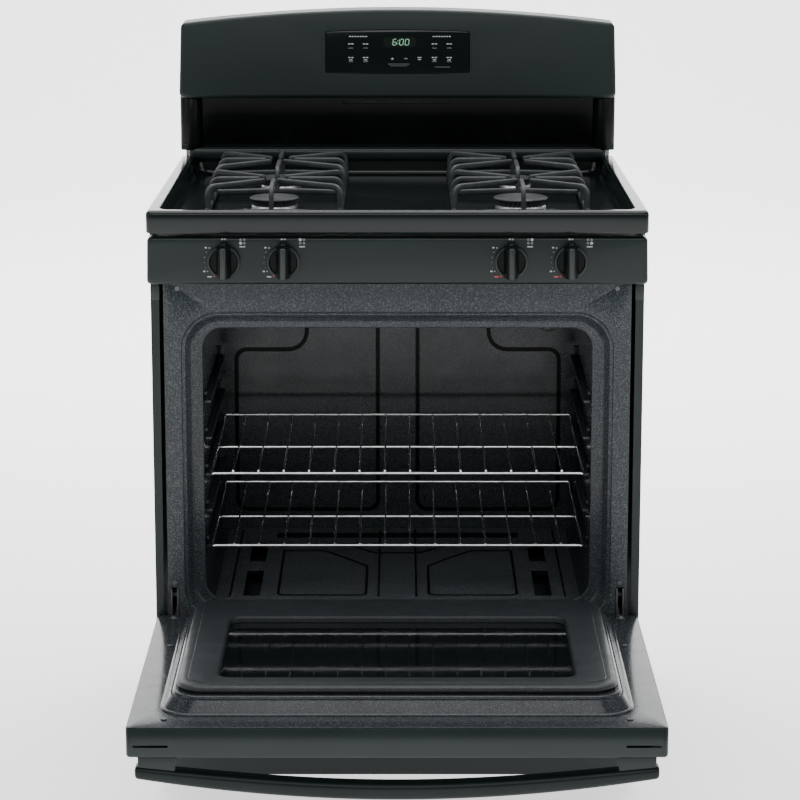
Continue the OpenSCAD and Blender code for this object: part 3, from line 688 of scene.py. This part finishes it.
def make_knob(number, x):
    """A dished dial with a raised grip and pointer, bored for the valve stem; its outer rim and the grip's
    ridge are a lighter plastic, a painted highlight.
    """
    bm = bmesh.new()
    o = at(x, 0, KNOB_Z)
    lathe(bm, o, [(STEM_BORE, 4.8), (21.6, 4.8), (21.4, 9.4), (20.4, 7.6), (STEM_BORE, 7.6)], 72, axis="y",
          bored=True)
    # The rim and the grip's ridge take the lighter plastic: a painted highlight on a knob that is all one
    # black plastic.
    rim_highlight = bmesh.new()
    lathe(rim_highlight, o, [(STEM_BORE, 4.4), (23.2, 4.4), (24.5, 5.4), (24.5, 9.4), (24.0, 10.6), (22.9, 11.2),
                     (21.8, 10.8), (21.2, 9.4), (20.8, 7.0), (STEM_BORE, 7.0)], 72, axis="y", bored=True)

    def slab(h, half_width, z0, z1, radius):
        """Outline across the grip at height h above the panel."""
        return [at(x + u, -h, KNOB_Z + v) for u, v in rect(half_width, (z0, z1), radius, 5)]

    def bore(h):
        """Outline of the valve stem's hole at height h, with as many points as a slab."""
        return slab(h, STEM_BORE, -STEM_BORE, STEM_BORE, STEM_BORE * 0.99)

    rows = [bore(STEM_REACH), bore(6.5)]
    rows += [slab(h, half, -reach, reach, radius) for h, half, reach, radius in
             [(6.5, 11.5, 24.2, 3), (12, 10.8, 24.2, 3), (24, 8.2, 23.8, 3), (28, 6.6, 23.4, 2.6),
              (29.4, 5.4, 23, 2.4)]]
    loft(bm, rows, cap_start=True, cap_end=True)
    ridge = [slab(h, half, -23.8 + d, 23.8 - d, 1.6) for h, half, d in
             [(27, 4.4, 0), (31.4, 4.0, 0), (32.6, 3.3, 0.6), (33, 2.4, 1.4)]]
    loft(rim_highlight, [bore(STEM_REACH), bore(27)] + ridge, cap_start=True, cap_end=True)
    pointer = [slab(h, half, 8, 30 - d, 1.6) for h, half, d in
               [(3.4, 5.2, 0), (14, 5.0, 0), (18, 4.2, 1.5), (19, 3.0, 3)]]
    loft(bm, pointer, cap_start=True, cap_end=True)
    body = f"knob_{number}"
    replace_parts(link(f"knob_cap_{number}", bm, "knob_plastic", body, 38), body)
    link(f"knob_rim_highlight_{number}", rim_highlight, "knob_rim", body, 38)


def disc(bm, x, z, r):
    """A thin printed dot on the control panel."""
    lathe(bm, at(x, 0, z), [(0, -0.05), (r, -0.05), (r, 0.22), (0, 0.22)], 16, axis="y")


def bar(bm, x, z, w, h):
    """A thin printed dash on the control panel."""
    outline = [(u + x, v + z) for u, v in rect(w / 2, (-h / 2, h / 2), min(w, h) * 0.4, 3)]
    loft(bm, [upright(outline, 0.05), upright(outline, -0.2)], cap_start=True, cap_end=True)


def around(x, angle, r):
    """A place at an angle in degrees from the top of the knob at x."""
    a = math.radians(angle)
    return x + r * math.sin(a), KNOB_Z + r * math.cos(a)


def make_panel_marks():
    """Generic dial marks: a stroke for off, dots that shrink for heat, a flame dot, and a burner finder."""
    pale, dim, red = bmesh.new(), bmesh.new(), bmesh.new()
    for i, x in enumerate(KNOB_X):
        bar(pale, x - 2.2, KNOB_Z + 33.5, 3.4, 2.6)
        bar(pale, x + 2.2, KNOB_Z + 33.5, 2.6, 2.6)
        u, v = around(x, -48, 31)
        bar(pale, u - 4, v, 3.6, 2.4)
        disc(pale, u + 1.4, v - 0.4, 1.1)
        for step in range(4):
            disc(dim, *around(x, -62 - 16 * step, 29.5), 1.0 - 0.12 * step)
        u, v = around(x, -120, 31)
        bar(pale, u - 3, v, 3.6, 2.4)
        disc(pale, u + 2, v, 0.9)
        u, v = around(x, -140, 31)
        bar(red if i > 1 else pale, u - 2, v, 7, 2.0)
        disc(red, u + 4.5, v + 0.5, 1.2)
        filled = ((0, 0), (0, 1), (1, 1), (1, 0))[i]
        for col in (0, 1):
            for row in (0, 1):
                cx, cz = x + 25.5 + col * 5.6, KNOB_Z + 27.5 + row * 5.4
                if (col, row) == filled:
                    disc(pale, cx, cz, 2.3)
                    continue
                lathe(dim, at(cx, 0, cz), [(1.5, 0.05), (2.0, 0.05), (2.0, 0.2), (1.5, 0.2), (1.5, 0.05)],
                      16, axis="y")
        bar(pale, x + 28.2, KNOB_Z + 22.2, 9, 1.9)
    # The dial marks carry a painted glow.
    link("dial_marks", pale, "legend", CABINET, 60)
    link("dial_dots", dim, "legend_dim", CABINET, 60)
    link("dial_red_marks", red, "legend_red", CABINET, 60)


# ---- backguard ----

CONSOLE_Z, CONSOLE_Y, CONSOLE_HALF, TOP_Z = 1024, 598, 371.5, 1172
LEAN = math.radians(8)
GLASS_Z = 76


def on_face(u, v, depth=0.0):
    """A point on the leaning console face: v runs up the face, depth goes in."""
    return at(u, CONSOLE_Y + v * math.sin(LEAN) + depth * math.cos(LEAN),
              CONSOLE_Z + v * math.cos(LEAN) - depth * math.sin(LEAN))


def bowed(half, low, high, bow_low, bow_high, radius, lean_in=0.0):
    """A closed outline with bowed bottom and top edges and round corners."""
    count = 24

    def edge(level, bow, reach):
        return [(reach * (2 * k / count - 1), level + bow * (1 - (2 * k / count - 1) ** 2))
                for k in range(count + 1)]

    bottom = edge(low, -bow_low, half)
    top = edge(high, bow_high, half - lean_in)[::-1]
    middle = count // 2
    path = bottom[middle:] + top + bottom[:middle + 1]
    path = [Vector((u, v, 0)) for u, v in path]
    return [(p.x, p.y) for p in fillet(path, radius, 6)[:-1]]


def make_console():
    """The backguard: a leaning hood with a pocket for its dark glass, and trim at its ends."""
    rise = (TOP_Z - CONSOLE_Z) / math.cos(LEAN)
    drop = 23 / math.cos(LEAN)

    def front(d, depth):
        return [on_face(u, v, depth) for u, v in
                bowed(CONSOLE_HALF - d, d, rise - drop - d, 0, drop, 9, 3)]

    def back(d, y):
        outline = bowed(CONSOLE_HALF - d, CONSOLE_Z + d, TOP_Z - 23 - d, 0, 23, 9, 3)
        return upright(outline, y)

    rows = [back(1, 671.6), back(0, 670.6)]
    rows += [front(d, depth) for d, depth in quarter((0, 6), (6, 0), 6, bulge_first=False)]
    bm = bmesh.new()
    loft(bm, rows, cap_start=True, cap_end=True)
    shell = link("console_hood", bm, "console_paint", CABINET, 40)
    pocket = bmesh.new()
    loft(pocket, [[on_face(u, v, depth) for u, v in glass_outline(-0.9)] for depth in (-5, 4)],
         cap_start=True, cap_end=True)
    cut(shell, pocket)
    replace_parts(shell, "console_shell")
    bm = bmesh.new()
    rows = [[on_face(u, v, depth) for u, v in glass_outline(d)] for d, depth in
            [(0, 3.6), (0, 1.3), (0.3, 0.95), (0.9, 0.8)]]
    loft(bm, rows, cap_start=True, cap_end=True)
    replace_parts(link("control_window", bm, "control_glass", CABINET), "control_glass")
    bm = bmesh.new()
    for side in (-1, 1):
        soft_box(bm, (side * 369.6 - 1.8, side * 369.6 + 1.8), (622, 668), (934, 1023), 1.2)
        soft_box(bm, (side * 362 - 8, side * 362 + 8), (608, 624), (933.2, 944), 2)
    link("console_side_trim", bm, "console_paint", CABINET)


def glass_outline(d):
    """The control glass's outline, stepped in by d."""
    return bowed(122.5 - d, GLASS_Z - 33 + d, GLASS_Z + 35.5 - d, 2, 3, 2.2)


SEGMENTS = {"0": "abcdef", "6": "acdefg"}
SEGMENT_PLACES = {"a": (0, 1, 0), "b": (0.5, 0.5, 1), "c": (0.5, -0.5, 1), "d": (0, -1, 0),
                  "e": (-0.5, -0.5, 1), "f": (-0.5, 0.5, 1), "g": (0, 0, 0)}


def face_bar(bm, u, v, w, h, top=0.62):
    """A thin printed dash on the control glass."""
    h *= 0.8
    outline = [(u + a, v + b) for a, b in rect(w / 2, (-h / 2, h / 2), min(w, h) * 0.35, 2)]
    loft(bm, [[on_face(a, b, 0.85) for a, b in outline], [on_face(a, b, top) for a, b in outline]],
         cap_start=True, cap_end=True)


def make_console_marks():
    """Generic key marks in rows, a display window with a clock reading, and plus and minus keys."""
    pale, dim, window, digits = (bmesh.new() for _ in range(4))
    middle, top = 4, GLASS_Z + 22
    for side in (-1, 1):
        centre = middle + side * 71
        for k in range(7):
            face_bar(pale, centre - 14 + 4.6 * k, top + 5.5, 3.4, 2.2)
        for col in (-1, 1):
            for row, depth in enumerate((top - 7, top - 30)):
                u = centre + col * 12.5
                face_bar(pale, u - 2.6, depth, 4, 2.2)
                face_bar(pale, u + 2.6, depth, 4, 2.2)
                face_bar(dim, u, depth - 7, 8, 1.4)
                if row:
                    face_bar(pale, u, depth - 4, 6, 1.8)
    face_bar(window, middle, top - 4, 56, 21, 0.7)
    for u, figure in ((-9, "6"), (2.5, "0"), (12, "0")):
        for key in SEGMENTS[figure]:
            a, b, upright_bar = SEGMENT_PLACES[key]
            w, h = (0.9, 5.6) if upright_bar else (3.8, 1.1)
            v = top - 4 + b * 5
            face_bar(digits, middle + u + a * 6 + b * 0.7, v, w, h, 0.5)
    for v in (-2.2, 2.2):
        face_bar(digits, middle - 3.4, top - 4 + v, 1.3, 1.3, 0.5)
    for u, plus in ((-13, True), (10, False)):
        face_bar(pale, middle + u, top - 32, 5, 1.3)
        if plus:
            face_bar(pale, middle + u, top - 32, 1.3, 5, 0.6)
    face_bar(pale, middle + 33, top - 30, 7, 1.8)
    face_bar(pale, middle + 33, top - 33.4, 5, 1.8)
    face_bar(dim, middle - 2, top - 41, 36, 1.0)
    face_bar(dim, middle - 2, top - 44, 30, 0.8)
    face_bar(dim, middle + 72, top - 46, 26, 1.0)
    # Key marks and lines carry a painted glow; the display digits are lit.
    link("key_marks", pale, "legend", CABINET, 60)
    link("key_lines", dim, "legend_dim", CABINET, 60)
    link("display_window", window, "display", CABINET, 60)
    link("display_digits", digits, "digits", CABINET, 60)


# ---- oven front ----

SHEET = 1.2
HINGE_X = 349


def hinge_slot(bm, side, half, y, z, radius):
    """A slot on one side where the hinge arm passes."""
    soft_box(bm, (side * HINGE_X - half, side * HINGE_X + half), y, z, radius)


def make_front_frame():
    """The pressed porcelain front: a flat plate, a rolled edge, and a step back to the oven mouth."""
    y = 47
    rows = [(359, 234, 806, 3, y + SHEET), (359, 234, 806, 3, y + 0.4), (358.6, 234.4, 805.6, 3, y)]
    front = [(335, 258, 758.6, 61, y)]
    for a, b in quarter((0, 0), (6, 5), 5, bulge_first=False):
        front.append((333 - a, 260 + a, 756.6 - a, 59 - a, y + b))
    front.append((322, 272.5, 744, 50, 66))
    for a, b in quarter((0, 0), (5.4, 9), 5, bulge_first=False):
        front.append((322 - a, 272.5 + 1.2 * a, 744 - 1.5 * a, 50 - a, 66 + b))
    front.append((315, 281, 734.4, 44, 75.4))
    front.append((304, 287, 728, 34, 75.8))
    for a, b in quarter((0, 0), (2.4, 2.4), 4):
        front.append((304 - a, 287 + a, 728 - a, 34 - a, 75.8 + b))
    grow = 0.9
    back = [(half + grow, z0 - grow, z1 + grow, r + grow, depth + SHEET)
            for half, z0, z1, r, depth in front[::-1]]
    rows = rows + front + back
    loops = [upright(rect(half, (z0, z1), r), depth) for half, z0, z1, r, depth in rows]
    loops.append(loops[0])
    bm = bmesh.new()
    loft(bm, loops)
    frame_piece = link("oven_front_pressing", bm, "oven_porcelain", CABINET, 40)
    slots = bmesh.new()
    for side in (-1, 1):
        hinge_slot(slots, side, 7.5, (40, 55), (258, 318), 1.5)
    cut(frame_piece, slots)
    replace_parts(frame_piece, "front_frame")
    bm = bmesh.new()
    for side in (-1, 1):
        soft_box(bm, (side * 371 - 6.6, side * 371 + 6.6), (45.2, 46.2), (775, 797), 0.4)
    link("side_trim_tabs", bm, "trim_paint", CABINET)


# ---- oven door ----

DOOR_HALF, DOOR_FRONT, DOOR_BACK = 376.0, -503.0, 44.0
DOOR_Z = (230.0, 273.0)
LINER_Z = 274.3
DOOR_SLOT = (7.6, (24, 60), (240, 290), 0.9)


def plan_row(half, y0, y1, z, radius):
    """A flat round-cornered rectangle, symmetric in x, at height z."""
    return flat(rect(half, (y0, y1), radius), z)


def make_door_skin():
    """The outer pan of the door; it lies face down while the door is open."""
    low, high = DOOR_Z

    def outer(d, z):
        return plan_row(DOOR_HALF - d, DOOR_FRONT + d, DOOR_BACK - d, z, max(6 - d, 1.5) if d < 3 else 4)

    def hole(d, z):
        return plan_row(230 + d, -372 - d, -152 + d, z, 14)

    rows = [hole(0, low + SHEET), hole(0, low + 0.4), hole(0.6, low), hole(2, low), outer(7, low)]
    rows += [outer(d, z) for d, z in quarter((5, low), (0, low + 5), 5)]
    rows += [outer(0, high - 0.5), outer(0.4, high), outer(SHEET, high), outer(SHEET, low + 5)]
    rows.append(outer(5, low + SHEET))
    rows.append(rows[0])
    bm = bmesh.new()
    loft(bm, rows)
    skin = link("door_outer_pan", bm, "body_enamel", DOOR, 40)
    slots = bmesh.new()
    for side in (-1, 1):
        soft_box(slots, (side * 342 - 24.5, side * 342 + 24.5), (DOOR_FRONT - 3, DOOR_FRONT + 3),
                 (245.2, 248.6), 0.9)
        for k in range(3):
            y = -440 + 40 * k
            soft_box(slots, (side * DOOR_HALF - 3, side * DOOR_HALF + 3), (y, y + 26), (242.2, 245.6), 0.9)
        hinge_slot(slots, side, *DOOR_SLOT)
    cut(skin, slots)
    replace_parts(skin, "door_skin")


def make_door_liner():
    """The porcelain inner pressing: flat flange, a raised plateau and the window hole."""
    top = 298.3
    front = [(374.6, -501.6, 42.6, LINER_Z - 0.3, 4), (374, -501, 42, LINER_Z, 4),
             (338, -458, 37, LINER_Z, 48)]
    for a, b in quarter((0, 0), (5, 3.5), 6, bulge_first=False):
        front.append((335 - a, -455 + a, 34 - a, LINER_Z + b, 45 - a))
    front.append((320.5, -440.5, 22.5, top - 5, 40))
    for a, b in quarter((0, 0), (4.5, 5), 5, bulge_first=False):
        front.append((318.5 - a, -438.5 + a, 21 - a, top - 5 + b, 40 - a))
    front.append((300, -420, 2, top, 26))
    front.append((246, -387, -96, top, 12))
    front.append((244, -385, -98, top - 1, 12))
    back = [(half - 0.8, y0 + 0.8, y1 - 0.8, z - SHEET, r) for half, y0, y1, z, r in front[::-1][2:]]
    back.insert(0, (244, -385, -98, top - SHEET - 0.2, 12))
    back[-1] = (374.2, -501.2, 42.2, LINER_Z - SHEET, 4)
    loops = [plan_row(half, y0, y1, z, r) for half, y0, y1, z, r in front + back]
    loops.append(loops[0])
    bm = bmesh.new()
    loft(bm, loops)
    liner = link("door_inner_pressing", bm, "liner_porcelain", DOOR, 40)
    notch = bmesh.new()
    for side in (-1, 1):
        hinge_slot(notch, side, *DOOR_SLOT)
    cut(liner, notch)
    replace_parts(liner, "door_liner")


def make_window_frame():
    """The black-grey frame that clamps the inner glass; it is rolled down at its outer edge."""
    low, high = 302.6, 312.3
    rows = [(311.4, -429.4, 13.4, low, 39.5), (312, -430, 14, low + 1.2, 40)]
    for a, b in quarter((0, 0), (15, high - 1.6 - low - 2.4), 8, bulge_first=False):
        rows.append((312 - a, -430 + a, 14 - a, low + 2.4 + b, 40 - a * 0.7))
    rows.append((296.8, -414.8, -1.2, high - 1.5, 29))
    rows.append((296.0, -414.0, -2, high - 0.1, 28.6))
    rows.append((295.0, -413.0, -3, high, 28))
    rows.append((258, -394.5, -86, high, 24))
    for a, b in quarter((0, 0), (4.5, 5), 6):
        rows.append((258 - a, -394.5 + a, -86 - a * 1.4, high - b, 24 - a))
    rows.append((253, -389.8, -93.4, low + 0.6, 18))
    loops = [plan_row(half, y0, y1, z, r) for half, y0, y1, z, r in rows]
    loops.append(loops[0])
    bm = bmesh.new()
    loft(bm, loops)
    bezel = link("door_window_bezel", bm, "bezel_porcelain", DOOR, 20)
    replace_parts(bezel, "door_window_frame")


def make_door_seal():
    """The woven rope round the plateau, clamped under the window frame."""
    bm = bmesh.new()
    path = plan_row(304, -422, 6, 300.4, 34)
    sweep(bm, path, ring(2.1, 10), closed=True)
    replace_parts(link("door_seal", bm, "gasket_braid", DOOR), "door_gasket")


def make_handle():
    """A bowed round-edged bar, with a block at each end that holds it under the door."""
    y0, y1 = -496.0, -468.0
    base, end = DOOR_Z[0], 365.0
    bm = bmesh.new()
    rows = []
    stations = [-end + 8 * k / 6 for k in range(6)] + [-357 + 357 * k / 24 for k in range(24)]
    stations += [0.0] + [-x for x in stations[::-1]]
    for x in stations:
        outer = 34 + 32 * (1 - (x / 366) ** 2)
        thick = 26 - 8 * (x / end) ** 4
        near_end = max(0.0, (abs(x) - end + 5) / 5)
        pull = 3 * (1 - math.sqrt(max(0.0, 1 - near_end ** 2)))
        lo, hi = base - outer + pull, base - outer + thick - pull
        corners = [(y0 + pull, lo), (y1 - pull, lo), (y1 - pull, hi), (y0 + pull, hi)]
        section = round_outline(corners, (hi - lo) * 0.38, 6)
        rows.append([at(x, u, v) for u, v in section])
    loft(bm, rows, cap_start=True, cap_end=True)
    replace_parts(link("door_grip", bm, "handle_plastic", DOOR, 45), "door_handle")
    bm = bmesh.new()
    for side in (-1, 1):
        soft_box(bm, (side * 334.5 - 26.5, side * 334.5 + 26.5), (-492, -471),
                 (base - 27, base - 0.05), 2.5)
    link("door_grip_blocks", bm, "body_enamel", DOOR)


# ---- racks ----

RACK_HALF, RACK_Y = 296.0, (90.0, 450.0)
RACK_LEVELS = {"rack_lower": 374.5, "rack_upper": 491.5}


def make_rack(body, z):
    """Chrome wire shelf: a bent frame and cross wires, all rising to a raised back wire."""
    rail = RACK_HALF - 2.8
    front, rear = RACK_Y
    lift, rise_from = 14, 424
    bm = bmesh.new()
    outline = [(0, front, z), (rail, front, z), (rail, rise_from, z), (rail, rear, z + lift),
               (-rail, rear, z + lift), (-rail, rise_from, z), (-rail, front, z), (0, front, z)]
    wire(bm, [at(*p) for p in outline], 2.8, 6, 14)
    wire(bm, [at(-rail, 272, z - 0.4), at(rail, 272, z - 0.4)], 2.6)
    top = z + 4.3
    for k in range(14):
        x = (k - 6.5) * 39.6
        points = [(x, front - 0.3, top - 0.4), (x, front + 8, top), (x, rise_from, top),
                  (x, rear - 0.5, z + lift + 0.5)]
        wire(bm, [at(*p) for p in points], 1.5, 12, 10)
    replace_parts(link(body + "_wires", bm, "rack_chrome", body, 50), body)


# ---- oven inside ----

REAR_WALL_Y = 535.8
FLOOR_Z = 286.6


def flat_strip(bm, path, width, depth, up=UP):
    """A thin strip of rectangular section along a path."""
    half, thick = width / 2 * MM, depth * MM
    sweep(bm, path, [(-half, 0), (half, 0), (half, thick), (-half, thick)], up=up)


def make_oven_crease_shade():
    """Dark strips of painted shade along the pressed crease lines of the oven's rear wall and floor, round
    the floor's hood and over its rear slot.
    """
    groove_shade = bmesh.new()
    for side in (-1, 1):
        loop = [(-34, 744), (-34, 319), (-276, 319), (-276, 601), (-230, 601)]
        rest = [(-230, 601), (-155, 601), (-155, 744)]
        for points, bend in ((loop, 18), (rest, 32)):
            path = fillet([at(side * x, REAR_WALL_Y, z) for x, z in points], bend * MM)
            flat_strip(groove_shade, path, 6.4, 2.2, Vector((0, -1, 0)))
    link("rear_wall_groove_shade", groove_shade, "bead_shadow", CABINET)
    crease_shade = bmesh.new()
    for side in (-1, 1):
        outline = [(-190, 377), (-122, 377), (-79, 322), (-50, 281), (-50, 110), (-190, 110), (-190, 377)]
        path = fillet([at(side * x, y, FLOOR_Z) for x, y in outline], 12 * MM)
        flat_strip(crease_shade, path, 4, 1.3)
        for x in (266, 30):
            flat_strip(crease_shade, [at(side * x, 100, FLOOR_Z), at(side * x, 512, FLOOR_Z)], 3, 1)
    hood = [(-87, 420), (-37, 363), (37, 363), (87, 420), (-87, 420)]
    flat_strip(crease_shade, fillet([at(x, y, FLOOR_Z) for x, y in hood], 10 * MM), 4, 1.3)
    # A wide strip of painted shade over the floor's rear slot.
    flat_strip(crease_shade, [at(-206, 478, FLOOR_Z + 0.1), at(206, 478, FLOOR_Z + 0.1)], 30, 0.8)
    link("oven_floor_crease_shade", crease_shade, "bead_shadow", CABINET, 20)


# ---- CAD nodes that stay ----

KEPT = {
    "side_panel_left": ("body_enamel", 0.5), "side_panel_right": ("body_enamel", 0.5),
    "back_panel": ("galvanised_steel", 0.4), "console_back_cover": ("galvanised_steel", 0.4),
    "base_frame": ("galvanised_steel", 0.4), "oven_liner": ("oven_porcelain_dark", 0.5),
    "rack_guides": ("oven_porcelain_dark", 2.0), "oven_floor": ("floor_porcelain", 0.5),
    "oven_burner": ("aluminised_steel", 0.5), "broil_burner": ("aluminised_steel", 0.8),
    "oven_lamp": ("lamp_glass", 0), "lamp_socket": ("white_ceramic", 0.6),
    "temperature_sensor": ("stem_steel", 0.3), "oven_insulation": ("mineral_wool", 2.0),
    "gas_manifold": ("aluminised_steel", 0.6), "gas_supply_pipe": ("galvanised_steel", 0.4),
    "burner_valves": ("valve_brass", 0.5), "vent_panel": ("vent_gloss", 0.4),
    "console_ends": ("recess_shadow", 0.5), "control_board": ("circuit_board", 0.3),
    "pressure_regulator": ("bare_aluminium", 0.8), "power_inlet": ("black_nylon", 0.5),
    "hinge_receivers": ("zinc_screws", 0.4), "drawer_rails": ("galvanised_steel", 0.3),
    "levelling_feet": ("black_nylon", 0.6), "chassis_screws": ("zinc_screws", 0.3),
    "door_inner_glass": ("window_glass", 0.6), "door_outer_glass": ("window_glass", 0.6),
    "door_insulation": ("mineral_wool", 1.5), "door_screws": ("zinc_screws", 0.4),
    "hinge_arms": ("zinc_screws", 0.4), "drawer_front": ("body_enamel", 0.5),
    "drawer_pan": ("galvanised_steel", 0.4), "drawer_runners": ("galvanised_steel", 0.4),
}
KEPT.update({f"valve_stem_{number}": ("stem_steel", 0.2) for number in range(1, 5)})

make_camera()
make_cooktop()
make_burners()
make_grate("grate_casting_left", "grate_left", -195, 1)
make_grate("grate_casting_right", "grate_right", 195, -1)
make_panel()
for knob_number, knob_x in enumerate(KNOB_X, 1):
    make_knob(knob_number, knob_x)
make_panel_marks()
make_console()
make_console_marks()
make_front_frame()
make_door_skin()
make_door_liner()
make_window_frame()
make_door_seal()
make_handle()
for rack_body, rack_z in RACK_LEVELS.items():
    make_rack(rack_body, rack_z)
make_oven_crease_shade()
for node_name, (mat_name, edge_mm) in KEPT.items():
    dress(node_name, mat_name, edge_mm)


# ---- floor and lights ----

def make_floor():
    """A pale studio sweep: flat floor that curves up far behind the object."""
    bm = bmesh.new()
    profile = [(-9.0, 0.0), (6.0, 0.0)]
    for k in range(1, 13):
        t = math.pi / 2 * k / 12
        profile.append((6.0 + 3 * math.sin(t), 3 - 3 * math.cos(t)))
    profile.append((9.0, 9.0))
    rows = [[Vector((x, y, z)) for y, z in profile] for x in (-12.0, 12.0)]
    loft(bm, rows, closed=False)
    for face in bm.faces:
        face.smooth = True
    floor = new_object("studio_floor", bm)
    f = Finish("studio_floor", (0.95, 0.95, 0.95), 0.9)
    f.set("Emission Color", (1, 1, 1, 1))
    f.set("Emission Strength", 1.1)
    f.tint(f.noise(0.8, 2), (0.945, 0.945, 0.945), (0.955, 0.955, 0.955))
    floor.data.materials.append(f.mat)


def make_light(name, place, aim, size, power):
    """A soft box at place that faces aim; size in metres, power in watts."""
    data = bpy.data.lights.new(name, "AREA")
    data.shape = "RECTANGLE"
    data.size, data.size_y = size
    data.energy = power
    lamp = bpy.data.objects.new(name, data)
    lamp.location = place
    lamp.rotation_euler = (Vector(aim) - Vector(place)).to_track_quat("-Z", "Y").to_euler()
    bpy.context.scene.collection.objects.link(lamp)


def make_lights():
    """Plain soft studio light: a faint sky, a box overhead, two at the sides, one in front, one behind."""
    world = bpy.data.worlds.new("studio")
    bpy.context.scene.world = world
    world.use_nodes = True
    sky = world.node_tree.nodes["Background"]
    sky.inputs["Color"].default_value = (0.95, 0.98, 1.0, 1)
    sky.inputs["Strength"].default_value = 0.22
    make_light("top_softbox", (0, 0.4, 3.4), (0, 0.2, 0.8), (3.0, 2.2), 98)
    make_light("left_softbox", (-3.2, -1.6, 2.0), (0, 0, 0.6), (1.6, 2.2), 24)
    make_light("right_softbox", (3.2, -1.6, 2.0), (0, 0, 0.6), (1.6, 2.2), 24)
    make_light("front_softbox", (0, -4.0, 3.5), (0, -0.1, 0.4), (3.4, 1.2), 58)
    make_light("backdrop_light", (0, 3.0, 4.0), (0, 6.5, 0.5), (6, 2), 650)


make_floor()
make_lights()
